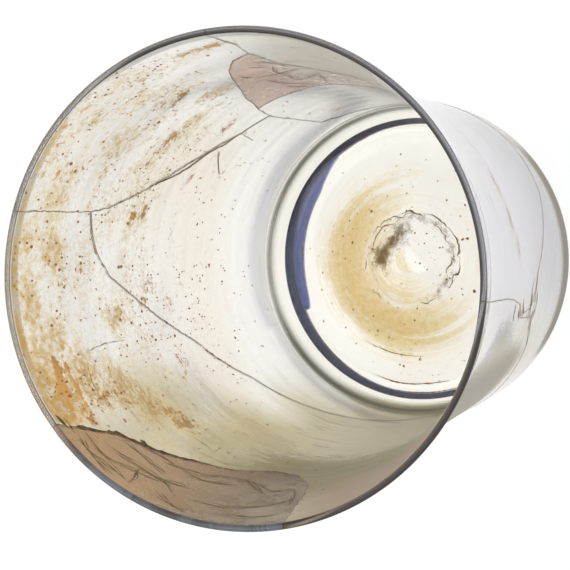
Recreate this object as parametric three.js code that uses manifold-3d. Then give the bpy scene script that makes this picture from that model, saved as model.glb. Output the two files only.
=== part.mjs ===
// A blown glass beaker with a flared mouth, a pushed-up base and a trailed foot thread,
// put together again from four sherds of glass and two cast fills.
import * as THREE from "three";
import { mergeVertices } from "three/addons/utils/BufferGeometryUtils.js";
import Module from "manifold-3d";

const wasm = await Module();
wasm.setup();
const { degToRad, radToDeg } = THREE.MathUtils;

// Millimetres and degrees. The origin is on the axis, in the plane that the beaker stands on.
// +Z points to the mouth, and azimuths run from +X towards +Y.
const HEIGHT = 176.5;
const MOUTH_RADIUS = 60;
const BODY_RADIUS = 45.7; // outside, where the wall turns into the base
const WALL_THICKNESS = 1.3;
const LIP_THICKNESS = 1.7; // the fire-polished bead at the mouth
const FLARE_LENGTH = 54; // how far below the lip the wall still curves outwards
const FLARE_SHARE = 0.66; // what this curve makes of the widening; an even taper makes the rest

// The base: a rounded turn below the wall, and a dome pushed up from underneath.
const TURN_WIDTH = 8.7;
const TURN_HEIGHT = 10;
const BASE_THICKNESS = 2.4;
const DOME_HEIGHT = 12.5;
const SCAR_RADIUS = 13; // the ring where the blower's rod was broken off
const SCAR_WIDTH = 3;
const SCAR_DEPTH = 0.6;

// The foot: one thread of glass laid round the base, its end lapping along the inside of its start.
const FOOT_HEIGHT = 3.1;
const FOOT_INSET = 4.2; // from the outside of the body to the outside of the thread
const THREAD_THIN = 2;
const THREAD_THICK = 3.1;
const THREAD_EDGE = 0.35; // how far the rounded sides draw in at the standing face
const THREAD_EDGE_HEIGHT = 1; // and how high up they have their full width again
const LAP_WIDTH = 2.6;
const LAP_BITE = 0.6; // how far the lapping end is fused into the thread
const THICK_SIDE = 90;
const LAP_START = 50;
const LAP_END = 107;
const LAP_SWELL = 0.4; // the share of the lap over which it comes up to its full width
const TIP_NARROWING = 0.8; // how much of its width the tip loses
const TIP_BLUNTNESS = 12;

const SEAM = 0.3; // between neighbouring pieces, where the adhesive is

// Facets.
const ROUND = 72;
const WALL_STEPS = 9;
const WALL_CROWDING = 1.4; // above 1, the steps of the wall close up towards the lip
const TURN_STEPS = 4;
const DOME_STEPS = 7;
const LIP_STEPS = 4;
const LAP_STEPS = 12;
const LONGEST_STEP = 8; // degrees between two points of a break line
const LONGEST_RISE = 0.04; // and the share of the height
const MERGE_DISTANCE = 1e-4;

const BASE_LIFT = FOOT_HEIGHT + SEAM;
const TURN_TOP = BASE_LIFT + TURN_HEIGHT;
const WALL_TOP = HEIGHT - LIP_THICKNESS / 2;
const DOME_RADIUS = BODY_RADIUS - TURN_WIDTH;
const FOOT_RADIUS = BODY_RADIUS - FOOT_INSET;

// Bodies that cut the glass reach from inside the wall to well outside it.
const CUT_INSIDE = DOME_RADIUS / 2;
const CUT_OUTSIDE = 4 * MOUTH_RADIUS;
const CUT_MARGIN = 0.9;
const ABOVE_LIP = 1.03;

// Break lines as [azimuth, height as a share of the beaker's height], from joint to joint.
const FORK = [66.3, 0.797];
const LOW_JOINT = [24.1, 0.412];
const FRONT_JOINT = [247, 0.365];
const FILL_TOP = [-1.5, 0.865];
const FILL_FOOT = [22.3, 0.492];
const FILL_TIP = [-26.6, 0.6];

const BREAK_RIM_BACK = [[67.6, ABOVE_LIP], [66.9, 0.922], FORK];
const BREAK_RIM_RIGHT = [[2.4, ABOVE_LIP], [-0.1, 0.955], [-1.8, 0.926], FILL_TOP];
const BREAK_SHORT = [FILL_FOOT, LOW_JOINT];
const BREAK_RIM_FRONT = [
  [259.4, ABOVE_LIP],
  [257.2, 0.86],
  [256, 0.666],
  [254.9, 0.578],
  [252.8, 0.508],
  [248, 0.475],
  FRONT_JOINT,
];
const BREAK_BACK = [
  FORK,
  [64.9, 0.744],
  [62.5, 0.703],
  [58.7, 0.643],
  [52.9, 0.577],
  [46, 0.515],
  [34.5, 0.434],
  LOW_JOINT,
];
const BREAK_LEFT = [
  FORK,
  [71.4, 0.782],
  [77.6, 0.759],
  [85, 0.711],
  [91.3, 0.639],
  [98.7, 0.565],
  [108.6, 0.46],
  [116, 0.411],
  [126.6, 0.331],
  [137.3, 0.289],
  [147.8, 0.251],
  [158, 0.218],
  [174.1, 0.17],
  [184, 0.145],
  [198, 0.153],
  [215, 0.215],
  [235.8, 0.297],
  [241.3, 0.343],
  FRONT_JOINT,
];
const BREAK_FRONT = [
  FRONT_JOINT,
  [252.8, 0.369],
  [261.1, 0.363],
  [272, 0.295],
  [288, 0.204],
  [310, 0.153],
  [338, 0.125],
  [364.5, 0.12],
  [376.9, 0.142],
  [382.4, 0.173],
  [383.8, 0.339],
  ahead(LOW_JOINT),
];
const FILL_BACK_EDGE = [
  FILL_TOP,
  [5, 0.833],
  [9.6, 0.783],
  [12.3, 0.731],
  [15, 0.665],
  [18.7, 0.592],
  [20, 0.541],
  FILL_FOOT,
];
const FILL_LOWER_EDGE = [
  FILL_FOOT,
  [14.5, 0.5],
  [7.3, 0.498],
  [-1, 0.518],
  [-7.7, 0.516],
  [-13.8, 0.503],
  FILL_TIP,
];
const FILL_UPPER_EDGE = [
  FILL_TIP,
  [-27.5, 0.715],
  [-16.3, 0.705],
  [-9.7, 0.733],
  [-4.3, 0.778],
  [-3.3, 0.827],
  FILL_TOP,
];
const RIM_FILL_EDGE = [
  [118.5, ABOVE_LIP],
  [123.2, 0.953],
  [125.7, 0.926],
  [128.8, 0.883],
  [134.8, 0.852],
  [139.5, 0.832],
  [147.4, 0.789],
  [156.8, 0.753],
  [165.7, 0.707],
  [173, 0.72],
  [179.3, 0.78],
  [181.9, 0.854],
  [183, 0.93],
  [184.1, ABOVE_LIP],
];

// The same point one turn further round.
function ahead([azimuth, share]) {
  return [azimuth + 360, share];
}

function backwards(line) {
  return [...line].reverse();
}

// Lines joined end to end, with long steps divided so that they follow the wall.
function joined(...lines) {
  const points = lines.flatMap((line, i) => (i ? line.slice(1) : line));
  return points.flatMap((point, i) => {
    const next = points[i + 1];
    if (!next) return [point];
    const [turn, rise] = [next[0] - point[0], next[1] - point[1]];
    const parts = Math.ceil(
      Math.max(Math.abs(turn) / LONGEST_STEP, Math.abs(rise) / LONGEST_RISE),
    );
    return Array.from({ length: parts }, (_, k) => [
      point[0] + (turn * k) / parts,
      point[1] + (rise * k) / parts,
    ]);
  });
}

// Outside radius of the wall at a height.
function wallRadius(z) {
  const below = HEIGHT - z;
  const length = HEIGHT - TURN_TOP;
  const end = Math.exp(-length / FLARE_LENGTH);
  const curve = (Math.exp(-below / FLARE_LENGTH) - end) / (1 - end);
  const taper = 1 - below / length;
  const widening = FLARE_SHARE * curve + (1 - FLARE_SHARE) * taper;
  return BODY_RADIUS + (MOUTH_RADIUS - BODY_RADIUS) * widening;
}

// Height of the underside of the base, over the dome and the rounded turn.
function undersideHeight(radius) {
  if (radius <= DOME_RADIUS) {
    return BASE_LIFT + (DOME_HEIGHT * (1 + Math.cos((Math.PI * radius) / DOME_RADIUS))) / 2;
  }
  const share = Math.min((radius - DOME_RADIUS) / TURN_WIDTH, 1);
  return BASE_LIFT + TURN_HEIGHT * (1 - Math.sqrt(1 - share * share));
}

// The dome's underside, with the shallow ridge of the scar.
function undersidePoints() {
  const scar = [-1, 0, 1].map((side) => {
    const radius = SCAR_RADIUS + (side * SCAR_WIDTH) / 2;
    return new THREE.Vector2(radius, undersideHeight(radius) - (side ? 0 : SCAR_DEPTH));
  });
  const smooth = domePoints(0).filter((p) => Math.abs(p.x - SCAR_RADIUS) > SCAR_WIDTH);
  return [...smooth, ...scar].sort((a, b) => a.x - b.x);
}

function domePoints(lift) {
  return Array.from({ length: DOME_STEPS }, (_, i) => {
    const radius = (DOME_RADIUS * i) / DOME_STEPS;
    return new THREE.Vector2(radius, undersideHeight(radius) + lift);
  });
}

// A quarter of an ellipse from the lowest ring of the base to the wall.
function turnPoints(inset, lift) {
  return Array.from({ length: TURN_STEPS + 1 }, (_, i) => {
    const angle = ((i / TURN_STEPS) * Math.PI) / 2;
    const radius = DOME_RADIUS + (TURN_WIDTH - inset) * Math.sin(angle);
    return new THREE.Vector2(radius, TURN_TOP - (TURN_HEIGHT - lift) * Math.cos(angle));
  });
}

// The wall above the turn. The steps close up towards the lip, where the flare bends most.
function wallPoints(inset) {
  const reach = WALL_TOP - LIP_THICKNESS - TURN_TOP;
  return Array.from({ length: WALL_STEPS }, (_, i) => {
    const left = 1 - (i + 1) / WALL_STEPS;
    const z = TURN_TOP + reach * (1 - left ** WALL_CROWDING);
    return new THREE.Vector2(wallRadius(z) - inset, z);
  });
}

// The rounded bead at the mouth, from the outside over the top to the inside.
function lipPoints() {
  const bead = LIP_THICKNESS / 2;
  return Array.from({ length: LIP_STEPS + 1 }, (_, i) => {
    const angle = (i / LIP_STEPS) * Math.PI;
    const radius = MOUTH_RADIUS - bead + bead * Math.cos(angle);
    return new THREE.Vector2(radius, WALL_TOP + bead * Math.sin(angle));
  });
}

// A closed geometry as a solid, turned the right way out.
function solidOf(geometry) {
  const bare = new THREE.BufferGeometry();
  bare.setAttribute("position", geometry.getAttribute("position"));
  bare.setIndex(geometry.index);
  const merged = mergeVertices(bare, MERGE_DISTANCE);
  const corners = Array.from(merged.index.array);
  const faces = [];
  for (let i = 0; i < corners.length; i += 3) {
    const [a, b, c] = corners.slice(i, i + 3);
    if (a !== b && b !== c && c !== a) faces.push(a, b, c);
  }
  const build = (list) => {
    const triVerts = new Uint32Array(list);
    const vertProperties = merged.attributes.position.array;
    return new wasm.Manifold(new wasm.Mesh({ numProp: 3, vertProperties, triVerts }));
  };
  const solid = build(faces);
  return solid.volume() > 0 ? solid : build(faces.reverse());
}

function geometryOf(solid) {
  const mesh = solid.getMesh();
  const geometry = new THREE.BufferGeometry();
  geometry.setAttribute("position", new THREE.BufferAttribute(mesh.vertProperties, 3));
  geometry.setIndex(new THREE.BufferAttribute(mesh.triVerts, 1));
  return geometry;
}

// Sides that join rings of points one after another, and from the last to the first if closed.
function sidesOf(rings, closed) {
  const count = rings[0].length;
  const faces = [];
  for (let i = 0; i < (closed ? rings.length : rings.length - 1); i++) {
    const here = i * count;
    const next = ((i + 1) % rings.length) * count;
    for (let k = 0; k < count; k++) {
      const other = (k + 1) % count;
      faces.push(here + k, next + k, next + other, here + k, next + other, here + other);
    }
  }
  return faces;
}

function tubeOf(rings, closed, cap = fan(rings[0].length)) {
  const faces = sidesOf(rings, closed);
  const last = (rings.length - 1) * rings[0].length;
  if (!closed) {
    cap.forEach(([a, b, c]) => faces.push(a, b, c, last + a, last + c, last + b));
  }
  const geometry = new THREE.BufferGeometry().setFromPoints(rings.flat());
  geometry.setIndex(faces);
  return solidOf(geometry);
}

function fan(count) {
  return Array.from({ length: count - 2 }, (_, k) => [0, k + 1, k + 2]);
}

function around(azimuth, radius, z) {
  const angle = degToRad(azimuth);
  return new THREE.Vector3(radius * Math.cos(angle), radius * Math.sin(angle), z);
}

// The whole vessel, as it was before it broke.
function vessel() {
  const outer = [...undersidePoints(), ...turnPoints(0, 0), ...wallPoints(0)];
  const inner = [
    ...domePoints(BASE_THICKNESS),
    ...turnPoints(WALL_THICKNESS, BASE_THICKNESS),
    ...wallPoints(WALL_THICKNESS),
  ];
  const profile = [...outer, ...lipPoints(), ...inner.reverse()];
  return solidOf(new THREE.LatheGeometry(profile, ROUND).rotateX(Math.PI / 2));
}

// A thin blade that stands across the wall along a break line, as wide as the seam.
function blade(line, closed) {
  const points = closed ? line.slice(0, -1) : line;
  const count = points.length;
  const rings = points.map(([azimuth, share], i) => {
    const before = closed && i === 0 ? line[count - 1] : points[Math.max(i - 1, 0)];
    const after = closed ? line[i + 1] : points[Math.min(i + 1, count - 1)];
    const back = closed && i === 0 ? before[0] - line[count][0] + line[0][0] : before[0];
    const z = share * HEIGHT;
    const radius = wallRadius(z);
    const along = new THREE.Vector2(
      degToRad(after[0] - back) * radius,
      (after[1] - before[1]) * HEIGHT,
    ).normalize();
    const turn = radToDeg((-along.y * SEAM) / 2 / radius);
    const rise = (along.x * SEAM) / 2;
    const inside = radius - WALL_THICKNESS - CUT_MARGIN;
    const outside = radius + CUT_MARGIN;
    return [
      around(azimuth + turn, inside, z + rise),
      around(azimuth + turn, outside, z + rise),
      around(azimuth - turn, outside, z - rise),
      around(azimuth - turn, inside, z - rise),
    ];
  });
  return tubeOf(rings, closed);
}

// Everything that a closed line bounds on the wall, as a body that runs through the wall.
function window(line) {
  const flat = line.map(([azimuth, share]) => new THREE.Vector2(azimuth, share * HEIGHT));
  if (THREE.ShapeUtils.isClockWise(flat)) flat.reverse();
  const cap = THREE.ShapeUtils.triangulateShape(flat, []);
  const layer = (radiusAt) => flat.map((p) => around(p.x, radiusAt(p.y), p.y));
  const rings = [
    layer(() => CUT_INSIDE),
    layer((z) => wallRadius(z) - WALL_THICKNESS - CUT_MARGIN),
    layer((z) => wallRadius(z) + CUT_MARGIN),
    layer(() => CUT_OUTSIDE),
  ];
  return tubeOf(rings, false, cap);
}

// Everything below a line that runs once round the wall.
function basin(line) {
  const middle = LOW_JOINT[1] * HEIGHT;
  const spokes = line.slice(0, -1).map(([azimuth, share]) => {
    const z = share * HEIGHT;
    return [
      new THREE.Vector3(0, 0, -CUT_MARGIN),
      around(azimuth, CUT_OUTSIDE, -CUT_MARGIN),
      around(azimuth, CUT_OUTSIDE, z),
      around(azimuth, wallRadius(z) + CUT_MARGIN, z),
      around(azimuth, wallRadius(z) - WALL_THICKNESS - CUT_MARGIN, z),
      around(azimuth, CUT_INSIDE, z),
      new THREE.Vector3(0, 0, middle),
    ];
  });
  return tubeOf(spokes, true);
}

// The thread is thickest on one side and thins away from it.
function threadInside(azimuth) {
  const facing = Math.max(0, Math.cos(degToRad(azimuth - THICK_SIDE)));
  return FOOT_RADIUS - THREAD_THIN - (THREAD_THICK - THREAD_THIN) * facing ** 2;
}

// A section of thread between two radii: flat underneath, bedded against the base on top.
function threadSection(azimuth, inside, outside) {
  const middle = (inside + outside) / 2;
  const top = (radius) => around(azimuth, radius, undersideHeight(radius) - SEAM);
  return [
    around(azimuth, inside + THREAD_EDGE, 0),
    around(azimuth, outside - THREAD_EDGE, 0),
    around(azimuth, outside, THREAD_EDGE_HEIGHT),
    top(outside),
    top(middle),
    top(inside),
    around(azimuth, inside, THREAD_EDGE_HEIGHT),
  ];
}

function footThread() {
  const ring = Array.from({ length: ROUND }, (_, i) => {
    const azimuth = (i * 360) / ROUND;
    return threadSection(azimuth, threadInside(azimuth), FOOT_RADIUS);
  });
  // The lapping end swells from nothing and finishes in a blunt, rounded tip.
  const lap = Array.from({ length: LAP_STEPS + 1 }, (_, i) => {
    const share = i / LAP_STEPS;
    const azimuth = LAP_START + (LAP_END - LAP_START) * share;
    const tip = Math.sqrt(1 - TIP_NARROWING * share ** TIP_BLUNTNESS);
    const swell = Math.min(1, share / LAP_SWELL) * tip;
    const inside = threadInside(azimuth);
    return threadSection(azimuth, inside - LAP_WIDTH * swell, inside + LAP_BITE);
  });
  return tubeOf(ring, true).add(tubeOf(lap, false));
}

const baseLine = joined(backwards(BREAK_BACK), BREAK_LEFT, BREAK_FRONT);
const wallFillLine = joined(FILL_BACK_EDGE, FILL_LOWER_EDGE, FILL_UPPER_EDGE);
const rimFillLine = joined(RIM_FILL_EDGE);

const blades = [
  blade(baseLine, true),
  blade(wallFillLine, true),
  blade(rimFillLine, false),
  blade(joined(BREAK_RIM_BACK), false),
  blade(joined(BREAK_RIM_RIGHT), false),
  blade(joined(BREAK_RIM_FRONT), false),
  blade(joined(BREAK_SHORT), false),
];
const broken = blades.reduce((glass, cut) => glass.subtract(cut), vessel());
const below = basin(baseLine);
const above = broken.subtract(below);

const backWindow = window(
  joined(
    BREAK_RIM_BACK,
    BREAK_BACK,
    backwards(BREAK_SHORT),
    backwards(FILL_BACK_EDGE),
    backwards(BREAK_RIM_RIGHT),
  ),
);
const rightWindow = window(
  joined(
    BREAK_RIM_FRONT,
    BREAK_FRONT,
    backwards(BREAK_SHORT).map(ahead),
    FILL_LOWER_EDGE.map(ahead),
    FILL_UPPER_EDGE.map(ahead),
    backwards(BREAK_RIM_RIGHT).map(ahead),
  ),
);
const wallFillWindow = window(wallFillLine.slice(0, -1));
const rimFillWindow = window(rimFillLine);

const glass = () =>
  new THREE.MeshStandardMaterial({
    color: 0xdcdccb,
    roughness: 0.08,
    metalness: 0,
    transparent: true,
    opacity: 0.4,
  });
const resin = () =>
  new THREE.MeshStandardMaterial({
    color: 0xb9a085,
    roughness: 0.35,
    metalness: 0,
    transparent: true,
    opacity: 0.75,
  });
const blue = () =>
  new THREE.MeshStandardMaterial({
    color: 0x24407f,
    roughness: 0.12,
    metalness: 0,
  });

const beaker = new THREE.Group();

function place(name, solid, material) {
  const mesh = new THREE.Mesh(geometryOf(solid), material);
  mesh.name = name;
  beaker.add(mesh);
}

place("base_sherd", broken.intersect(below), glass());
place("back_wall_sherd", above.intersect(backWindow), glass());
place("right_wall_sherd", above.intersect(rightWindow), glass());
place(
  "left_wall_sherd",
  [backWindow, rightWindow, wallFillWindow, rimFillWindow].reduce(
    (rest, taken) => rest.subtract(taken),
    above,
  ),
  glass(),
);
place("wall_fill", above.intersect(wallFillWindow), resin());
place("rim_fill", above.intersect(rimFillWindow), resin());
place("foot_thread", footThread(), blue());

export default beaker;
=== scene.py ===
import math

import bpy
import numpy as np
from mathutils import Matrix, Vector
from mathutils.geometry import delaunay_2d_cdt


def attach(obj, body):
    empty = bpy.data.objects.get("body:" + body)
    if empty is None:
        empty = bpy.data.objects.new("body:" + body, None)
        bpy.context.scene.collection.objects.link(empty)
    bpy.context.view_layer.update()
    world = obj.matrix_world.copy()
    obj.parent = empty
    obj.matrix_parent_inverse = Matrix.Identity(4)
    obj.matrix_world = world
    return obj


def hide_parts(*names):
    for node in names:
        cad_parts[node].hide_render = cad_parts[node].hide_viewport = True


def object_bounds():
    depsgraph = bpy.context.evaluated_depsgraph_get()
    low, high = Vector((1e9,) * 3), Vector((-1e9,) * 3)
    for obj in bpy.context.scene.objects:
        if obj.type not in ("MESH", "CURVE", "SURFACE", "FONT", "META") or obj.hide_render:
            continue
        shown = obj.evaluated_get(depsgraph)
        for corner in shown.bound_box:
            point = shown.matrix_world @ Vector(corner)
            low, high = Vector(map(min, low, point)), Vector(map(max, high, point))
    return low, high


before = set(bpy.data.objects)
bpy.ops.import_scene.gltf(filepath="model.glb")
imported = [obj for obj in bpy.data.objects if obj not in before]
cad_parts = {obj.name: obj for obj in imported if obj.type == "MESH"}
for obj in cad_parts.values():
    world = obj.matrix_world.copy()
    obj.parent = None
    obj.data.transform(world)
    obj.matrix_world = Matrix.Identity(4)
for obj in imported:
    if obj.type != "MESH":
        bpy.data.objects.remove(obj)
cad_box = [list(corner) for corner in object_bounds()]

# Sizes in metres, as the fixed frame has them. Azimuths run from +X towards +Y, in degrees.
MM = 0.001
HEIGHT = cad_box[1][2]
MOUTH_RADIUS = cad_box[1][0]
BODY_RADIUS = 45.7 * MM
WALL_THICKNESS = 1.3 * MM
LIP_THICKNESS = 1.7 * MM
FLARE_LENGTH = 54 * MM
FLARE_SHARE = 0.66
TURN_WIDTH = 8.7 * MM
TURN_HEIGHT = 10 * MM
BASE_THICKNESS = 2.4 * MM
DOME_HEIGHT = 12.5 * MM
SCAR_RADIUS = 13 * MM
SCAR_WIDTH = 1.6 * MM
SCAR_DEPTH = 0.7 * MM
FOOT_HEIGHT = 3.1 * MM
FOOT_INSET = 4.2 * MM
THREAD_THIN = 2 * MM
THREAD_THICK = 3.1 * MM
LAP_WIDTH = 2.6 * MM
THICK_SIDE = 90
LAP_START = 34
LAP_END = 107
SEAM = 0.3 * MM

BASE_LIFT = FOOT_HEIGHT + SEAM
TURN_TOP = BASE_LIFT + TURN_HEIGHT
WALL_TOP = HEIGHT - LIP_THICKNESS / 2
DOME_RADIUS = BODY_RADIUS - TURN_WIDTH
FOOT_RADIUS = BODY_RADIUS - FOOT_INSET
LIP_RISE = 4 * MM  # the wall thickens to the lip over this height

# Unevenness of the blown glass.
DRIFT = 0.18 * MM
RIPPLE = 0.004 * MM
RIPPLE_LENGTH = 11 * MM
BASE_RIPPLE = 0.02 * MM
BASE_RIPPLE_LENGTH = 5 * MM

# A point of the vessel has an azimuth and a reach, its distance from the axis along the profile:
# over the dome, round the turn and up the wall.
TURN_LENGTH = math.pi * (TURN_WIDTH + TURN_HEIGHT) / 4
WALL_START = DOME_RADIUS + TURN_LENGTH
RIM_REACH = WALL_START + WALL_TOP - TURN_TOP

# Steps of the fine meshes.
STEP = 1.6 * MM
RING_STEPS = 240
LINE_STEP = 1.4 * MM
BEAD_STEPS = 12
OVER_LIP = np.arange(1, BEAD_STEPS) / BEAD_STEPS  # shares of the way over the lip, from the inside
TUBE_SIDES = 6  # sides of a bead of adhesive or a thin raised line
THREAD_SIDES = 16
LAP_STEPS = 60
NUDGE = 0.05 * MM  # for directions worked out from two close places
PROUD = 0.03 * MM  # how far the beads of adhesive stand out
JOIN_WIDTH = 0.2 * MM
CRACK_WIDTH = 0.13 * MM
LINE_JITTER = 0.1 * MM
HALF_GAP = 0.12 * MM  # each sherd ends this far from the middle of a join

# Break lines as [azimuth, height as a share of the beaker's height], from joint to joint.
ABOVE_LIP = 1.03
FORK = [66.3, 0.797]
LOW_JOINT = [24.1, 0.412]
FRONT_JOINT = [247, 0.365]
FILL_TOP = [-1.5, 0.865]
FILL_FOOT = [22.3, 0.492]
FILL_TIP = [-26.6, 0.6]
BREAKS = {
    "rim_back": [[67.6, ABOVE_LIP], [66.9, 0.922], FORK],
    "rim_right": [[2.4, ABOVE_LIP], [-0.1, 0.955], [-1.8, 0.926], FILL_TOP],
    "short": [FILL_FOOT, LOW_JOINT],
    "rim_front": [
        [259.4, ABOVE_LIP], [257.2, 0.86], [256, 0.666], [254.9, 0.578], [252.8, 0.508], [248, 0.475],
        FRONT_JOINT,
    ],
    "back": [
        FORK, [64.9, 0.744], [62.5, 0.703], [58.7, 0.643], [52.9, 0.577], [46, 0.515], [34.5, 0.434],
        LOW_JOINT,
    ],
    "left": [
        FORK, [71.4, 0.782], [77.6, 0.759], [85, 0.711], [91.3, 0.639], [98.7, 0.565], [108.6, 0.46],
        [116, 0.411], [126.6, 0.331], [137.3, 0.289], [147.8, 0.251], [158, 0.218], [174.1, 0.17],
        [184, 0.145], [198, 0.153], [215, 0.215], [235.8, 0.297], [241.3, 0.343], FRONT_JOINT,
    ],
    "front": [
        FRONT_JOINT, [252.8, 0.369], [261.1, 0.363], [272, 0.295], [288, 0.204], [310, 0.153],
        [338, 0.125], [364.5, 0.12], [376.9, 0.142], [382.4, 0.173], [383.8, 0.339],
        [LOW_JOINT[0] + 360, LOW_JOINT[1]],
    ],
    "fill_back": [
        FILL_TOP, [5, 0.833], [9.6, 0.783], [12.3, 0.731], [15, 0.665], [18.7, 0.592], [20, 0.541],
        FILL_FOOT,
    ],
    "fill_lower": [
        FILL_FOOT, [14.5, 0.5], [7.3, 0.498], [-1, 0.518], [-7.7, 0.516], [-13.8, 0.503], FILL_TIP,
    ],
    "fill_upper": [
        FILL_TIP, [-27.5, 0.715], [-16.3, 0.705], [-9.7, 0.733], [-4.3, 0.778], [-3.3, 0.827], FILL_TOP,
    ],
    "rim_fill": [
        [118.5, ABOVE_LIP], [123.2, 0.953], [125.7, 0.926], [128.8, 0.883], [134.8, 0.852],
        [139.5, 0.832], [147.4, 0.789], [156.8, 0.753], [165.7, 0.707], [173, 0.72], [179.3, 0.78],
        [181.9, 0.854], [183, 0.93], [184.1, ABOVE_LIP],
    ],
}

# Cracks that end inside a sherd, as [azimuth, height in mm].
CRACKS = {
    "long": [[34.9, 77.6], [39.8, 80.4], [43.2, 85.9], [50, 93.2], [54.1, 101.3], [57.3, 111.5]],
    "small": [[34.4, 77.6], [35.6, 69.9], [36.9, 62.1]],
    "faint": [[42.9, 80.5], [46, 77], [51.6, 69.2]],
    "upper_left": [[104.9, 147.6], [103.4, 135.7], [103.7, 124.3]],
    "front_a": [[261.5, 64.2], [255.1, 66.3], [251.2, 71.2], [247, 70.7]],
    "front_b": [[252.8, 65.1], [250.2, 71.2], [249.4, 79.8], [250.4, 86.4]],
    "front_c": [[249.2, 61.2], [246.2, 65.5], [242.3, 63.2]],
    "front_d": [[248.8, 60], [245, 62.8], [241.3, 58.2], [235.8, 52.5]],
}

# Brown hairlines on the inner face, in the same terms.
HAIRLINES = [
    [[106.4, 147.6], [110.4, 149.8], [116, 150.9], [124.3, 150.2]],
    [[120.2, 142.7], [124.5, 141.9], [130.4, 142.1]],
    [[138.5, 126.5], [142.5, 126], [147, 127.2]],
    [[143, 133.5], [150.5, 131.6], [158, 131.8]],
]

# Short dark cracks on the outer face beside the break at the right, in the same terms.
OUTER_CRACKS = [
    [[253.7, 99.1], [251.4, 96.6], [250.2, 97.2], [247.4, 94.8]],
    [[254.3, 84.2], [251.6, 83], [249.4, 80.6], [247.2, 80.4]],
    [[260.4, 69], [256.6, 71.6], [252.9, 70.6], [249.6, 69.4], [246.4, 66.6]],
    [[255.6, 63.3], [252.2, 61.2], [248.2, 60.9]],
    [[250.6, 90.2], [248.8, 87.2], [246.6, 86.6]],
]

# Creases in the cast fills, in the same terms.
RIM_FILL_CREASES = [
    [[123.6, 167.1], [132.7, 168.1], [141.6, 164], [149.9, 161.2]],
    [[128.8, 163.6], [138.6, 161.4], [147, 161.3], [152.8, 166.1]],
    [[153.1, 164.5], [166.4, 163.2], [176.4, 158], [181.1, 149.2]],
    [[131, 156], [139.3, 155.5], [146.9, 156.4]],
    [[141.8, 151.5], [150.1, 146.5], [157, 141.6]],
    [[152, 142.8], [164.6, 139.5], [171.8, 145.6], [175.9, 141.3]],
    [[171.8, 145.6], [176.5, 143.2], [179.6, 152], [180.8, 161]],
    [[130.1, 171.9], [135.1, 170.5], [141.8, 171.4]],
    [[148, 167.8], [153.6, 171.5], [159.3, 173.6]],
    [[140.2, 161.5], [141.7, 167], [142.1, 172]],
    [[159.7, 136.5], [165.5, 142.7], [172.4, 150.6]],
    [[163.9, 169.4], [173.8, 168.6], [181, 167.4]],
    [[147.1, 149.4], [153.6, 149.2], [161.8, 145.3]],
    [[141.9, 161.6], [148.5, 159.8], [154.7, 157.7]],
    [[133, 151.5], [139, 149.5], [146, 148.8]],
    [[124.5, 170.5], [131, 172.6], [139, 173.2]],
]
WALL_FILL_CREASES = [
    [[10.2, 131.6], [7.9, 123.7], [1.2, 122], [-8.4, 129.2]],
    [[2.6, 141.4], [-1.5, 141], [-5.6, 131.1]],
    [[-1.6, 134.5], [1, 125], [-0.4, 116.4]],
    [[4.3, 138], [2.5, 134.6], [-0.6, 133.5]],
    [[0.1, 125], [-0.8, 107], [-12.1, 121]],
    [[-9.4, 117.8], [-8.3, 108.8], [-4.6, 95.4]],
    [[7.4, 118.6], [4.2, 103.7], [-1.5, 93.5]],
    [[6.2, 102.1], [4.7, 95.9], [1.1, 93]],
]


def around(azimuth, radius, z):
    """Points at azimuths in radians, as rows of x, y and z."""
    return np.column_stack([radius * np.cos(azimuth), radius * np.sin(azimuth), z])


def smooth(value, low, high):
    """0 below low and 1 above high, with a soft change between them."""
    share = np.clip((value - low) / (high - low), 0, 1)
    return share * share * (3 - 2 * share)


def wall_radius(z):
    """The outside radius of the wall at a height."""
    length = HEIGHT - TURN_TOP
    end = math.exp(-length / FLARE_LENGTH)
    curve = (np.exp((z - HEIGHT) / FLARE_LENGTH) - end) / (1 - end)
    taper = 1 - (HEIGHT - z) / length
    return BODY_RADIUS + (MOUTH_RADIUS - BODY_RADIUS) * (FLARE_SHARE * curve + (1 - FLARE_SHARE) * taper)


def underside(radius):
    """The height of the underside of the base."""
    dome = DOME_HEIGHT * (1 + np.cos(np.pi * np.minimum(radius / DOME_RADIUS, 1))) / 2
    share = np.clip((radius - DOME_RADIUS) / TURN_WIDTH, 0, 1)
    return BASE_LIFT + dome + TURN_HEIGHT * (1 - np.sqrt(1 - share * share))


def scar_ridge(azimuth, radius):
    """The ridge of the broken ring under the base, uneven and gone in places."""
    strength = 0.55 + 0.3 * np.sin(3 * azimuth + 0.4) + 0.25 * np.sin(7 * azimuth + 2)
    away = (radius - SCAR_RADIUS - 0.5 * MM * np.sin(2 * azimuth + 1)) / SCAR_WIDTH
    return SCAR_DEPTH * np.clip(strength, 0, 1) * np.exp(-away * away)


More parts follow.
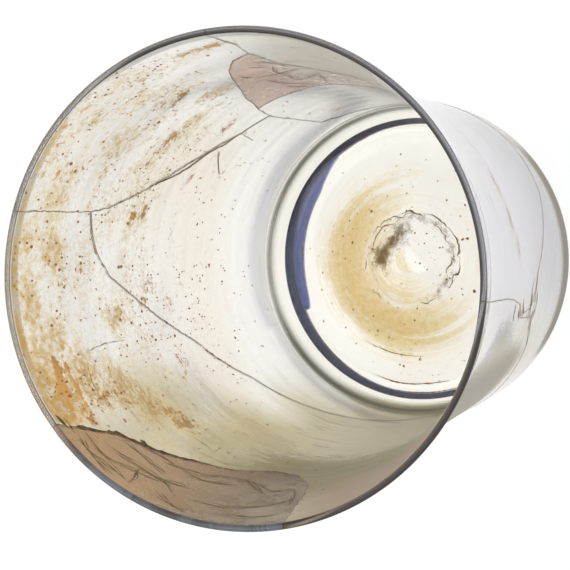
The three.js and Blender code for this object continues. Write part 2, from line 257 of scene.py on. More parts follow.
def surface(azimuth, reach, inside):
    """Points of the outer or the inner face of the whole vessel."""
    z = TURN_TOP + reach - WALL_START
    on_wall = reach >= WALL_START
    on_dome = reach <= DOME_RADIUS
    angle = np.clip((reach - DOME_RADIUS) / TURN_LENGTH, 0, 1) * math.pi / 2
    lip = smooth(z, WALL_TOP - LIP_RISE, WALL_TOP)
    widen = MOUTH_RADIUS - wall_radius(WALL_TOP)
    thick = WALL_THICKNESS + (LIP_THICKNESS - WALL_THICKNESS) * lip
    inset = WALL_THICKNESS if inside else 0
    lift = BASE_THICKNESS if inside else 0
    turn_radius = DOME_RADIUS + (TURN_WIDTH - inset) * np.sin(angle)
    turn_z = TURN_TOP - (TURN_HEIGHT - lift) * np.cos(angle)
    wall = wall_radius(np.clip(z, TURN_TOP, WALL_TOP)) + widen * lip - (thick if inside else 0)
    radius = np.where(on_dome, reach, np.where(on_wall, wall, turn_radius))
    dome_z = underside(np.minimum(reach, DOME_RADIUS)) + lift
    height = np.where(on_dome, dome_z, np.where(on_wall, z, turn_z))
    rise = np.clip((z - TURN_TOP) / (WALL_TOP - TURN_TOP), 0, 1)
    sway = np.sin(2 * azimuth + 0.6) + 0.5 * np.sin(3 * azimuth + 5 * rise)
    drift = DRIFT * np.sin(math.pi * rise) * sway
    phase = 2 * math.pi * z / RIPPLE_LENGTH + azimuth + 1.4 * np.sin(2 * azimuth) + (2 if inside else 0)
    ripple = RIPPLE * np.sin(phase) * smooth(rise, 0.02, 0.15) * smooth(1 - rise, 0.02, 0.1)
    rings = np.sin(2 * math.pi * reach / BASE_RIPPLE_LENGTH + azimuth + (1 if inside else 0))
    flat = smooth(reach, 3 * MM, 12 * MM) * smooth(WALL_START - reach, 4 * MM, 12 * MM)
    height = height + BASE_RIPPLE * rings * flat
    if not inside:
        height = height - np.where(on_dome, scar_ridge(azimuth, radius), 0)
    return around(azimuth, radius + drift + ripple, height)


def refined(name, seed):
    """A break line with short steps and a slightly uneven course, as radians and metres."""
    rng = np.random.default_rng(seed)
    corners = [(math.radians(azimuth), share * HEIGHT) for azimuth, share in BREAKS[name]]
    return uneven(corners, rng)


def uneven(corners, rng):
    """A line through corners with short steps, each moved a little sideways."""
    points = []
    for (a0, z0), (a1, z1) in zip(corners, corners[1:]):
        radius = float(wall_radius(np.array((z0 + z1) / 2)))
        along = np.array([(a1 - a0) * radius, z1 - z0])
        length = float(np.hypot(*along))
        across = np.array([-along[1] / radius, along[0]]) / length
        count = max(1, round(length / LINE_STEP))
        for k in range(count):
            share = k / count
            shift = rng.normal() * LINE_JITTER if k else 0
            start = np.array([a0 + (a1 - a0) * share, z0 + (z1 - z0) * share])
            points.append(start + across * shift)
    points.append(np.array(corners[-1]))
    line = np.array(points)
    return cut_at_lip(cut_at_lip(line)[::-1])[::-1]


def cut_at_lip(line):
    """The line without what lies above the lip at its start."""
    over = int(np.argmax(line[:, 1] <= WALL_TOP))
    if over == 0:
        return line
    before, after = line[over - 1], line[over]
    share = (before[1] - WALL_TOP) / (before[1] - after[1])
    return np.vstack([before + (after - before) * share, line[over:]])


LINES = {name: refined(name, seed) for seed, name in enumerate(BREAKS)}


def way(*steps):
    """An outline from lines. A leading minus runs a line backwards, a number goes along the rim to there."""
    points, on_rim = [], []
    for step in steps:
        if isinstance(step, (int, float)):
            turn = 2 * math.pi / RING_STEPS
            start, end = points[-1][0] / turn, math.radians(step) / turn
            way_round = 1 if end > start else -1
            low, high = math.ceil(min(start, end) + 0.3), math.floor(max(start, end) - 0.3)
            fresh = [np.array([k * turn, WALL_TOP]) for k in range(low, high + 1)][::way_round]
        else:
            line = LINES[step.strip("-")]
            fresh = list(line[::-1] if step[0] == "-" else line)
            turn = 0
            if points:
                turn = 2 * math.pi * round((points[-1][0] - fresh[0][0]) / (2 * math.pi))
            fresh = [point + np.array([turn, 0]) for point in fresh]
            if points and np.hypot(*(points[-1] - fresh[0])) < 1e-6:
                fresh = fresh[1:]
        points += fresh
        on_rim += [point[1] >= WALL_TOP - 1e-7 for point in fresh]
    turn, rise = points[-1] - points[0]
    if abs(math.sin(turn / 2)) < 1e-6 and abs(rise) < 1e-6:
        points.pop()
        on_rim.pop()
    return np.array(points), np.array(on_rim)


def reach_of(z):
    """The reach of a height on the wall."""
    return WALL_START + z - TURN_TOP


def layout(azimuth, reach):
    """The vessel opened out flat: the axis is in the middle and the rim outside."""
    return np.column_stack([reach * np.cos(azimuth), reach * np.sin(azimuth)])


def area_of(flat):
    """The area of an outline, above 0 where it runs anticlockwise."""
    x, y = flat.T
    return float(np.sum(x * np.roll(y, -1) - np.roll(x, -1) * y) / 2)


def drawn_in(points, on_rim, gap):
    """An outline moved inwards by the gap along its breaks, and not along the rim."""
    radius = wall_radius(points[:, 1])
    before, after = np.roll(points, 1, 0), np.roll(points, -1, 0)
    moved = points.copy()
    count = len(points)
    for i in range(count):
        normals, gaps = [], []
        for start, end, flag in (
            (before[i], points[i], on_rim[i - 1] and on_rim[i]),
            (points[i], after[i], on_rim[i] and on_rim[(i + 1) % count]),
        ):
            turn = (end[0] - start[0] + math.pi) % (2 * math.pi) - math.pi
            along = np.array([turn * radius[i], end[1] - start[1]])
            along /= max(np.hypot(*along), 1e-12)
            normals.append([along[1], -along[0]])
            gaps.append(0 if flag else gap)
        cross = normals[0][0] * normals[1][1] - normals[0][1] * normals[1][0]
        if abs(cross) > 0.15:
            shift = np.linalg.solve(np.array(normals), np.array(gaps))
        else:
            shift = np.array(normals[0]) * gaps[0]
        shift *= min(1, 3 * gap / max(np.hypot(*shift), 1e-12))
        moved[i] += [shift[0] / radius[i], shift[1]]
    return moved


def grid_points():
    """Azimuths and reaches of points spread over the whole vessel, closer at the scar."""
    rows = []
    reach = 0.0
    while reach < RIM_REACH - 0.3 * MM:
        near_scar = abs(reach - SCAR_RADIUS) < 3 * SCAR_WIDTH
        if reach >= DOME_RADIUS:
            count = RING_STEPS
        else:
            count = max(1, round(2 * math.pi * reach / (0.9 * MM if near_scar else 1.4 * MM)))
        for k in range(count):
            rows.append((2 * math.pi * k / count, reach))
        step = 0.6 * MM if near_scar else (1.2 * MM if reach < WALL_START else STEP)
        if reach > RIM_REACH - 3 * STEP:
            step = 0.5 * MM
        reach += step
    return np.array(rows)


GRID = grid_points()
GRID_FLAT = layout(GRID[:, 0], GRID[:, 1])


def inside_of(outline, spots):
    """Which spots lie inside an outline, and how far from its corners they are."""
    x, y = spots.T
    found = np.zeros(len(spots), bool)
    nearest = np.full(len(spots), np.inf)
    for (x0, y0), (x1, y1) in zip(outline, np.roll(outline, -1, 0)):
        if y0 != y1:
            crossing = ((y0 > y) != (y1 > y)) & (x < (x1 - x0) * (y - y0) / (y1 - y0) + x0)
            found ^= crossing
        along = np.array([x1 - x0, y1 - y0])
        share = np.clip(((x - x0) * along[0] + (y - y0) * along[1]) / max(along @ along, 1e-18), 0, 1)
        gap = np.hypot(x - x0 - share * along[0], y - y0 - share * along[1])
        nearest = np.minimum(nearest, gap)
    return found, nearest


def mesh_piece(name, points, faces, material, smooth_angle=40):
    mesh = bpy.data.meshes.new(name)
    mesh.from_pydata([tuple(p) for p in points], [], faces)
    mesh.validate()
    mesh.shade_smooth()
    mesh.set_sharp_from_angle(angle=math.radians(smooth_angle))
    piece = bpy.data.objects.new(name, mesh)
    bpy.context.scene.collection.objects.link(piece)
    mesh.materials.append(material)
    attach(piece, "root")
    return piece


def face_normals(places, inside):
    """The exact direction of the wall or base at each place, away from the glass."""
    azimuth, reach = places[:, 0], np.maximum(places[:, 1], 4 * NUDGE)
    turn = NUDGE / reach
    turned = surface(azimuth + turn, reach, inside) - surface(azimuth - turn, reach, inside)
    raised = surface(azimuth, reach + NUDGE, inside) - surface(azimuth, reach - NUDGE, inside)
    normal = np.cross(turned, raised) * (-1 if inside else 1)
    return normal / np.linalg.norm(normal, axis=1)[:, None]


def blend_normals(mesh, places, triangles):
    """Shades both faces of the wall by its true curve, so that the triangles do not show in the glass."""
    exact = np.vstack([face_normals(places, False), face_normals(places, True)])
    normals = np.zeros((len(mesh.loops), 3))
    corners = np.zeros(len(mesh.loops), int)
    mesh.loops.foreach_get("vertex_index", corners)
    on_faces = 6 * triangles
    normals[:on_faces] = exact[corners[:on_faces]]
    mesh.normals_split_custom_set([tuple(n) for n in normals])


def filled(edge):
    """The places of an outline and of the grid inside it, and the triangles between them."""
    flat = layout(edge[:, 0], edge[:, 1])
    found, nearest = inside_of(flat, GRID_FLAT)
    near_rim = GRID[:, 1] > RIM_REACH - 1.5 * STEP
    kept = found & (nearest > np.where(near_rim, 0.25, 0.45) * STEP)
    spots = np.vstack([flat, GRID_FLAT[kept]])
    loop = [(i, (i + 1) % len(edge)) for i in range(len(edge))]
    result = delaunay_2d_cdt([Vector(p) for p in spots / MM], loop, [], 1, 1e-5)
    origin = [ids[0] for ids in result[3]]
    triangles = [[origin[v] for v in face] for face in result[2]]
    triangles = [t if area_of(spots[t]) > 0 else t[::-1] for t in triangles]
    return np.vstack([edge, GRID[kept]]), triangles


def lip_arch(azimuth):
    """Points over the lip at one azimuth, from the inner face to the outer one."""
    angle = math.pi * (1 - OVER_LIP)
    radius = MOUTH_RADIUS - LIP_THICKNESS / 2 * (1 - np.cos(angle))
    return around(azimuth, radius, WALL_TOP + LIP_THICKNESS / 2 * np.sin(angle))


def shell(name, steps, material, node):
    """A sherd or fill: both faces of the wall inside an outline, its break faces and its stretch of rim."""
    points, on_rim = way(*steps)
    if area_of(layout(points[:, 0], reach_of(points[:, 1]))) < 0:
        points, on_rim = points[::-1], on_rim[::-1]
    points = drawn_in(points, on_rim, HALF_GAP)
    edge = np.column_stack([points[:, 0], reach_of(points[:, 1])])
    places, triangles = filled(edge)
    total = len(places)
    faces = [t[::-1] for t in triangles] + [[v + total for v in t] for t in triangles]
    vertices = [surface(places[:, 0], places[:, 1], inside) for inside in (False, True)]
    arches = {}
    for i in np.flatnonzero(on_rim):
        start = 2 * total + len(arches) * len(OVER_LIP)
        arches[i] = [total + i, *range(start, start + len(OVER_LIP)), i]
        vertices.append(lip_arch(edge[i, 0]))
    for i in range(len(edge)):
        j = (i + 1) % len(edge)
        if on_rim[i] and on_rim[j]:
            for k in range(BEAD_STEPS):
                faces.append([arches[j][k], arches[i][k], arches[i][k + 1], arches[j][k + 1]])
            continue
        faces.append([total + j, total + i, i, j])
        if on_rim[j]:
            faces.append(arches[j][::-1])
        if on_rim[i]:
            faces.append(arches[i])
    vertices = np.vstack(vertices)
    piece = mesh_piece(name, vertices, faces, material)
    blend_normals(piece.data, places, len(triangles))
    all_places = np.vstack([places, places, np.repeat(edge[on_rim], len(OVER_LIP), axis=0)])
    is_inner = np.zeros(len(vertices))
    is_inner[total : 2 * total] = 1
    across = np.concatenate([np.ones(total), np.zeros(total), np.tile(OVER_LIP, len(arches))])
    paint(piece, all_places, is_inner, across)
    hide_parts(node)


def hill(value, middle, width):
    """1 at the middle, falling off on both sides of it."""
    return np.exp(-(((value - middle) / width) ** 2))


def spread(azimuth, height, middle, level, half_turn, half_height):
    """A soft spot on the wall: 1 at its centre, with its half widths in degrees and millimetres."""
    turn = (azimuth - middle + 180) % 360 - 180
    rise = (height - level) / half_height
    return np.exp(-((turn / half_turn) ** 2 + rise**2))


def sector(azimuth, start, end, edge):
    """1 between two azimuths, falling off over the edge."""
    middle = (start + end) / 2
    turn = np.abs((azimuth - middle + 180) % 360 - 180)
    return 1 - smooth(turn, (end - start) / 2 - edge, (end - start) / 2 + edge)


# Soft golden films on the inside of the wall, as
# [azimuth, height in mm, half width in degrees, half height in mm, strength].
GOLD_FILMS = [
    [82, 175, 12, 3.5, 1.0], [100, 175, 12, 3.5, 1.2], [115, 174, 8, 3.5, 1.2], [67, 175, 9, 3.5, 0.85],
    [50, 175, 12, 3.5, 0.7], [76, 170, 14, 8, 0.62], [90, 168, 13, 9, 0.85], [104, 167, 12, 10, 0.85],
    [115, 166, 9, 11, 1.15], [117.5, 170, 6, 7, 1.7], [109, 171, 6, 4, 1.4], [99, 160, 9, 9, 0.8],
    [77, 157, 9, 10, 0.75], [111, 152, 13, 15, 0.85], [117, 138, 13, 14, 0.85], [125, 131, 12, 12, 0.9],
    [132, 123, 9, 9, 0.75], [137, 141, 9, 10, 0.5], [97, 127, 7, 8, 0.75], [86, 147, 9, 9, 0.45],
    [64, 160, 14, 12, 0.6], [41, 163, 9, 5, 0.5], [29, 152, 9, 7, 0.6], [45, 142, 10, 9, 0.7],
    [20, 124, 10, 8, 0.6], [54, 126, 9, 9, 0.5], [34, 114, 8, 8, 0.62], [14, 160, 9, 6, 0.55],
    [69, 114, 6, 8, 0.5], [55, 166, 12, 6, 0.25], [22, 138, 14, 10, 0.45], [7, 165, 12, 4, 0.5],
    [12, 38, 2.6, 2.6, 0.9], [38, 112, 14, 14, 0.35], [62, 134, 12, 12, 0.35],
]


# Places with rust-coloured blotches and specks, in the same terms as the films.
RUST_PLACES = [
    [98, 161.8, 4, 3.5, 1.0], [104, 159, 8, 3, 1.0], [108, 163.5, 9, 1.6, 1.7], [113, 158.5, 7, 1.4, 1.5],
    [116, 166, 6, 1.3, 1.5], [122, 161, 5, 1.5, 1.2], [100, 156.5, 5, 1.3, 1.2], [117, 143, 4, 1.2, 1.3],
    [90, 165, 6, 4, 0.7], [118, 150, 5, 7, 0.8], [121, 140, 9, 9, 0.62], [129, 126, 6, 5, 0.95],
    [134, 122, 6, 5, 0.8], [113, 152, 10, 8, 0.5], [129.4, 153.9, 2, 2, 1.5], [67, 116, 2.2, 3.5, 1.3],
    [66, 110.5, 2.4, 2, 1.25], [72, 123.2, 2.6, 2.4, 1.1], [76.5, 131.3, 2.4, 2, 0.95],
    [82, 126.6, 1.2, 2, 1.1], [82.7, 142, 1.6, 1.2, 1.1], [89, 102, 4, 6, 0.72], [93, 108, 4, 4, 0.62],
    [94, 90, 4, 5, 0.7], [85, 150, 6, 6, 0.6], [97, 127, 4, 5, 0.65], [103, 108, 6, 8, 0.6],
    [113, 100, 6, 8, 0.72], [119, 99, 5, 6, 0.6], [7, 165.5, 11, 3.2, 0.72], [22, 151.5, 1.2, 1.2, 1.2],
    [23, 137, 9, 3, 0.8], [20.5, 110, 5, 3.2, 0.76], [32, 141, 10, 7, 0.5], [33, 91, 4, 2.6, 0.85],
    [41, 117, 5, 4, 0.85], [54, 89, 2.4, 2.4, 0.8], [52.4, 68.4, 2.2, 1.6, 0.8], [39, 160, 12, 8, 0.55],
    [56, 163, 9, 7, 0.6], [56, 142, 9, 8, 0.55], [46, 136, 8, 6, 0.5], [64, 150, 7, 10, 0.5],
    [250.5, 87, 1.6, 4, 0.9],
]


def shades(base, *layers):
    """A colour for each corner: the base, and over it each colour by its own share."""
    colour = np.tile(np.array(base, float), (len(layers[0][1]), 1))
    for over, share in layers:
        colour += (np.array(over) - colour) * np.clip(share, 0, 1)[:, None]
    return colour


def gathered(azimuth, height, spots):
    """The strongest of a list of soft spots at each place."""
    strength = np.zeros(len(azimuth))
    for *spot, peak in spots:
        strength = np.maximum(strength, peak * spread(azimuth, height, *spot))
    return strength


# Stains on the outside of the wall that faces the camera.
OUTER_PLACES = [
    [312, 62, 9, 7, 0.4], [303, 99, 9, 3.5, 0.6], [290, 101, 8, 3.5, 0.8], [279, 99, 7, 3, 0.9],
    [270, 94, 5, 2.5, 0.8], [284, 122.8, 5, 1.2, 0.7], [309, 100, 5, 2, 0.6], [251, 88.5, 2.2, 1.6, 1.1],
    [249.5, 84, 1.2, 4, 1.0], [247, 69, 1.5, 4, 0.7], [262, 60, 8, 8, 0.35],
]
WRAP_UNIT = 50 * MM  # one unit of the texture space

# Sides of the beaker with a look of their own: first azimuth, last azimuth and soft edge, in degrees.
STAINED_SIDE = (10, 140, 25)
RUSTY_SIDE = (12, 62, 10)
# The next four sides hold painted shade: a tan and olive darkening of the wall.
TAN_SIDE = (137, 242, 15)
LOW_TAN_SIDE = (152, 214, 12)
HIGH_TAN_SIDE = (119, 160, 11)
DEEP_SIDE = (158, 214, 10)
PINK_SIDE = (186, 240, 12)
COOL_SIDE = (248, 350, 14)
WARM_SIDE = (20, 130, 20)
TOP_SIDE = (322, 357, 9)
# The next four sides hold painted shade at the turn.
RING_FAR_SIDE = (5, 62, 15)
RING_TAN_SIDE = (112, 200, 15)
RING_WIDE_SIDE = (115, 200, 20)
LOW_TURN_SIDE = (150, 214, 14)
FOOT_LINE_SIDE = (238, 312, 10)
# The next three sides hold painted shade on the outer face.
LOW_EDGE_SIDE = (228, 310, 10)
UPPER_EDGE_SIDE = (304, 350, 8)
SHADED_SIDE = (205, 238, 9)
BASE_FILM_SIDE = (22, 200, 45)
SCAR_SOIL_SIDE = (190, 360, 30)
# The next four sides shape the painted shade of the lip.
PALE_LIP_SIDE = (30, 122, 12)
NEAR_LIP_SIDE = (192, 256, 9)
RIM_FILL_SIDE = (120, 186, 3)
BELOW_LIP_SIDE = (152, 350, 9)

# Soft spots on the wall: azimuth, height in mm, half width in degrees and half height in mm.
SPECK_SPOT = (116, 149, 9, 11)
WHITE_SPOT = (92, 48, 50, 55)
FILM_SPOT = (126, 100, 11, 13)
# A tan-grey patch of painted shade on the outer face.
NEAR_TAN_SPOT = (244, 108, 9, 26)

# TAN_TONE, DEEP_TONE, RING_TONE, TURN_TONE, SHADE_TONE and LOWER_TONE are painted shade, and OLIVE_TONE is
# painted shade where it darkens the low edge of the outside.
BODY_TONE = (0.96, 0.95, 0.93)
TAN_TONE = (0.71, 0.62, 0.34)
DEEP_TONE = (0.38, 0.32, 0.1)
PINK_TONE = (0.52, 0.37, 0.25)
COOL_TONE = (0.84, 0.83, 0.9)
BASE_TONE = (0.98, 0.95, 0.88)
RING_TONE = (0.19, 0.195, 0.14)
TURN_TONE = (0.5, 0.44, 0.22)
SHADE_TONE = (0.27, 0.23, 0.15)
TOP_TONE = (0.8, 0.74, 0.56)
LOWER_TONE = (0.44, 0.43, 0.47)
OLIVE_TONE = (0.15, 0.11, 0.05)
DUST_TONE = (0.46, 0.36, 0.25)
SMUDGE_ENDS = np.array([[1.5, 8.4], [8, 1.6]])  # mm from the axis, in X and Y
SMUDGE_TAIL = np.array([[-3.6, 6.7], [1.5, 8.2]])
TOP = WALL_TOP / MM  # in mm, like the heights below

# Places on the base and the turn, in mm from the axis or along the profile: the painted shade of the turn's
# ring, a line round the foot, and stains.
TURN_RING = 48.2
FOOT_LINE = 44.5
BASE_FILM_RING = 21.5
BASE_FILM_EDGE = (20, 34)
SCAR_SOIL = 12.6


def away_from(ends, spots):
    """The distance of spots from the line between two ends."""
    along = ends[1] - ends[0]
    share = np.clip((spots - ends[0]) @ along / (along @ along), 0, 1)
    return np.hypot(*(spots - ends[0] - share[:, None] * along).T)


def lip_layer(azimuth, height, across):
    """The painted shade of the lip: thin dark lines, the bead dark away from the pale side with a lighter
    line left in it, and a dark edge on the outer face just below. Across is 0 on the inner face and 1 on the
    outer one.
    """
    dark_side = 1 - sector(azimuth, *PALE_LIP_SIDE)
    near = sector(azimuth, *NEAR_LIP_SIDE)
    core = hill(across, 0.7 - 0.5 * near, 0.11) * (1 - sector(azimuth, *RIM_FILL_SIDE))
    inner_line = hill(across, 0.22, 0.1) * (1 - near)
    fine = np.maximum(inner_line, 0.8 * hill(across, 0.86, 0.08))
    on_bead = smooth(across, 0, 0.14) * (1 - smooth(across, 0.88, 1))
    lip = smooth(height, TOP - 0.8, TOP - 0.2)
    lip = lip * (fine + (1 - 0.95 * core - fine) * dark_side * on_bead)
    below_lip = smooth(height, TOP - 2.4, TOP - 1) * (across >= 1) * sector(azimuth, *BELOW_LIP_SIDE)
    return np.maximum(lip, 0.9 * below_lip)


def soil_layer(azimuth, radius, spots, is_inner):
    """The brown smudge in the middle of the base and the soil round the scar."""
    smudge = away_from(SMUDGE_ENDS, spots)
    soil = 0.62 * np.exp(-((smudge / 2.5) ** 2)) + 0.5 * np.exp(-((smudge / 4.6) ** 2))
    soil = soil + 0.4 * np.exp(-((away_from(SMUDGE_TAIL, spots) / 1.7) ** 2))
    soil = soil + 0.62 * hill(radius, SCAR_SOIL, 2) * (0.45 + 0.55 * sector(azimuth, *SCAR_SOIL_SIDE))
    return soil * (radius < 20) * is_inner


def stain_layers(azimuth, height, on_wall, is_inner):
    """The golden films, the rust and specks, and the stains outside, all on the wall."""
    gold = gathered(azimuth, height, GOLD_FILMS) * on_wall * is_inner
    rust = gathered(azimuth, height, RUST_PLACES) * is_inner
    outer = gathered(azimuth, height, OUTER_PLACES) * (1 - is_inner) * on_wall
    rust = np.maximum(rust, 0.5 * outer) * on_wall
    stained = sector(azimuth, *STAINED_SIDE) * smooth(height, 30, 90)
    faint = 0.22 + 0.14 * sector(azimuth, *RUSTY_SIDE) * smooth(height, 90, 120)
    rust = np.maximum(rust, faint * stained * is_inner)
    gold = np.maximum(gold, 0.36 * stained * smooth(height, 70, 120) * is_inner)
    specks = on_wall * (0.1 + 0.3 * stained + 1.1 * np.minimum(gold * rust + 0.4 * rust, 1)) * is_inner
    specks = specks + 0.9 * spread(azimuth, height, *SPECK_SPOT) * is_inner
    return gold, rust, specks, outer


def paint(piece, places, is_inner, across):
    """Gives each corner its place on the vessel, its tone, and how much of the films, stains, dirt and
    painted shade lie there.
    """
    azimuth = np.degrees(places[:, 0]) % 360
    reach = places[:, 1]
    height = (TURN_TOP + reach - WALL_START) / MM
    radius = np.minimum(reach, WALL_START) / MM
    is_outer = 1 - is_inner
    on_wall = smooth(reach, WALL_START - 3 * MM, WALL_START + 8 * MM)
    on_base = 1 - smooth(reach, DOME_RADIUS - 4 * MM, DOME_RADIUS + 3 * MM)
    gold, rust, specks, outer = stain_layers(azimuth, height, on_wall, is_inner)

    # The tones of the inner face. The first two masks below, and the two lines that widen the first, are
    # painted shade: the wall darker, tan and olive, on the side where it is seen against darker
    # surroundings, painted as a tinted film.
    drift = 5 * np.sin(height / 17 + 1) + 3 * np.sin(height / 6.1)
    tan_shade = sector(azimuth + drift, *TAN_SIDE) * smooth(height, 4, 50)
    deep_shade = sector(azimuth, *DEEP_SIDE) * smooth(height, 92, 116) * (1 - smooth(height, 140, 165))
    pink = sector(azimuth, *PINK_SIDE) * smooth(height, 128, 150)
    tan_shade = np.maximum(tan_shade, 0.8 * sector(azimuth, *LOW_TAN_SIDE) * smooth(height, -4, 6))
    tan_shade = np.maximum(tan_shade, 0.75 * sector(azimuth + drift, *HIGH_TAN_SIDE) * smooth(height, 88, 122))
    cool = sector(azimuth + drift, *COOL_SIDE) * smooth(height, 16, 40)
    warm = sector(azimuth, *WARM_SIDE) * smooth(height, 90, 150)
    white = spread(azimuth, height, *WHITE_SPOT)
    top_side = sector(azimuth, *TOP_SIDE) * smooth(height, 96, 122) * is_inner

    # The turn between the base and the wall. The ring here is painted shade: the grey band where the turn
    # refracts darker surroundings, painted as a stain. The low band after it is the tan painted shade
    # carried down onto the turn.
    ring_side = 0.62 + 0.3 * sector(azimuth, *RING_FAR_SIDE) + 0.38 * sector(azimuth, *RING_TAN_SIDE)
    turn_ring = hill(reach / MM, TURN_RING, 1.6 + 0.7 * sector(azimuth, *RING_WIDE_SIDE)) * ring_side
    low_turn = sector(azimuth, *LOW_TURN_SIDE) * smooth(reach / MM, 43.5, 45.5)
    low_turn = low_turn * (1 - smooth(reach / MM, 50, 58))
    foot_line = hill(reach / MM, FOOT_LINE, 2.2) * sector(azimuth, *FOOT_LINE_SIDE) * is_outer

    # The outer face. All these masks are painted shade: the outside darker low down, darker from 30 mm up
    # between 205 and 238 degrees, and a tan-grey patch, painted as a film over the glass.
    low_edge = sector(azimuth, *LOW_EDGE_SIDE) * smooth(height, 8, 14)
    low_edge = low_edge * (1 - smooth(height, 20, 27)) * is_outer
    shaded = sector(azimuth, *SHADED_SIDE) * smooth(height, 30, 75) * is_outer
    shaded = shaded * (1 - smooth(height, TOP - 4, TOP - 2))
    near_tan = spread(azimuth, height, *NEAR_TAN_SPOT) * is_outer
    lower_side = cool * (1 - smooth(height, 30, 95)) * is_outer
    upper_edge = sector(azimuth, *UPPER_EDGE_SIDE) * smooth(height, 8, 14)
    upper_edge = upper_edge * (1 - smooth(height, 20, 42)) * is_outer

    # The films on the glass, with the painted shade of the inner face and the turn laid on them.
    film_and_shade = (0.09 + 0.35 * tan_shade + 0.15 * deep_shade + 0.28 * pink + 0.2 * cool + 0.05 * warm - 0.1 * white) * on_wall
    film_and_shade = film_and_shade + 0.34 * spread(azimuth, height, *FILM_SPOT) + 0.1 * top_side
    film_and_shade = film_and_shade + 0.02 * (1 - on_wall) + 0.8 * turn_ring + 0.5 * foot_line + 0.42 * low_turn
    film_and_shade = np.clip(film_and_shade, 0, 0.9) * (0.42 + 0.58 * np.maximum(is_inner, foot_line))
    # Stains outside, and the painted shade of the outer face.
    outer_stain_and_shade = 0.65 * outer + 0.95 * low_edge + 0.85 * shaded + 0.65 * near_tan + 0.5 * upper_edge
    outer_stain_and_shade = np.maximum(outer_stain_and_shade, 0.26 * lower_side)
    side = 0.26 + 0.74 * sector(azimuth, *BASE_FILM_SIDE)
    base_film = 0.47 * hill(radius, BASE_FILM_RING, 8.5) + 0.5 * (1 - smooth(radius, *BASE_FILM_EDGE))
    tone = shades(
        BODY_TONE,
        (TAN_TONE, tan_shade),
        (DEEP_TONE, 0.8 * deep_shade),
        (PINK_TONE, 0.9 * pink),
        (COOL_TONE, cool),
        (TOP_TONE, top_side),
        (BASE_TONE, 1 - on_wall),
        (RING_TONE, turn_ring),
        (TURN_TONE, low_turn * (1 - np.clip(turn_ring, 0, 1))),
        (OLIVE_TONE, foot_line),
        (OLIVE_TONE, low_edge),
        (SHADE_TONE, np.maximum(0.95 * shaded, 0.5 * near_tan)),
        (LOWER_TONE, lower_side),
        (DUST_TONE, outer),
    )
    spots = np.column_stack([radius * np.cos(places[:, 0]), radius * np.sin(places[:, 0])])
    scale = np.minimum(reach, WALL_START) / WRAP_UNIT
    lift = np.maximum(reach - WALL_START, 0) / WRAP_UNIT
    wrap = np.column_stack([scale * np.cos(places[:, 0]), scale * np.sin(places[:, 0]), lift])
    layers = {
        "gold": gold + on_base * side * base_film * is_inner,
        "rust": rust,
        "specks": specks + 0.3 * on_base * is_inner,
        "film_and_shade": np.maximum(film_and_shade, outer_stain_and_shade),
        "lip": lip_layer(azimuth, height, across),
        "soil": soil_layer(azimuth, radius, spots, is_inner),
        "matt": on_wall * is_inner,
        "calm": np.maximum.reduce([tan_shade, cool, 1 - on_wall * (1 - 0.5 * white), 1 - 0.7 * is_inner]),
        "radius": radius / 10,
        "shade": smooth(azimuth, 138, 176) * on_wall,
    }
    for name, values in layers.items():
        add_layer(piece, name, "FLOAT", "value", values)
    add_layer(piece, "wrap", "FLOAT_VECTOR", "vector", wrap)
    add_layer(piece, "tone", "FLOAT_COLOR", "color", np.column_stack([tone, np.ones(len(tone))]))


def add_layer(piece, name, kind, field, values):
    """Stores values for the corners of a piece, for its material to read."""
    layer = piece.data.attributes.new(name, kind, "POINT")
    layer.data.foreach_set(field, np.asarray(values, np.float32).ravel())


class Nodes:
    """Short calls for the nodes of a material or of the world."""

    def __init__(self, tree):
        self.tree = tree

    def put(self, socket, value):
        if isinstance(value, bpy.types.NodeSocket):
            self.tree.links.new(value, socket)
        else:
            socket.default_value = value

    def node(self, kind, *values, out=0, **settings):
        """A new node with its inputs in their order, None for one that stays as it is."""
        made = self.tree.nodes.new(kind)
        for key, value in settings.items():
            setattr(made, key, value)
        for socket, value in zip(made.inputs, values):
            if value is not None:
                self.put(socket, value)
        return made.outputs[out]

    def maths(self, operation, *values):
        """The values taken together two at a time."""
        total = values[0]
        for value in values[1:]:
            total = self.node("ShaderNodeMath", total, value, operation=operation)
        return total

    def plus(self, *values):
        return self.maths("ADD", *values)

    def times(self, *values):
        return self.maths("MULTIPLY", *values)

    def most(self, *values):
        return self.maths("MAXIMUM", *values)

    def scaled(self, vector, scale):
        return self.node("ShaderNodeVectorMath", vector, scale, operation="MULTIPLY")

    def noise(self, vector, scale, detail, roughness):
        return self.node("ShaderNodeTexNoise", vector, None, scale, detail, roughness)

    def step(self, value, low, high, bottom=0.0, top=1.0):
        """From bottom to top while the value goes from low to high."""
        kind = "SMOOTHSTEP"
        return self.node("ShaderNodeMapRange", value, low, high, bottom, top, interpolation_type=kind)

    def mixed(self, share, first, second):
        """A number between two numbers."""
        return self.node("ShaderNodeMix", share, None, first, second)

    def mix(self, share, first, second):
        """A colour between two colours."""
        skipped = [None] * 5
        return self.node("ShaderNodeMix", share, *skipped, first, second, out=2, data_type="RGBA")

    def dots(self, vector, scale, density):
        """Small round specks: the density is the share of cells that hold one."""
        cells = self.tree.nodes.new("ShaderNodeTexVoronoi")
        self.put(cells.inputs["Vector"], vector)
        self.put(cells.inputs["Scale"], scale)
        chance = [self.node("ShaderNodeSeparateColor", cells.outputs["Color"], out=k) for k in (0, 1)]
        present = self.maths("GREATER_THAN", density, chance[0])
        size = self.step(chance[1], 0.2, 1.0, 0.1, 0.34)
        return self.times(present, self.maths("LESS_THAN", cells.outputs["Distance"], size))

    def rays(self, *kinds):
        """1 for rays of any of these kinds."""
        path = self.tree.nodes.new("ShaderNodeLightPath")
        return self.most(*[path.outputs["Is " + kind + " Ray"] for kind in kinds])


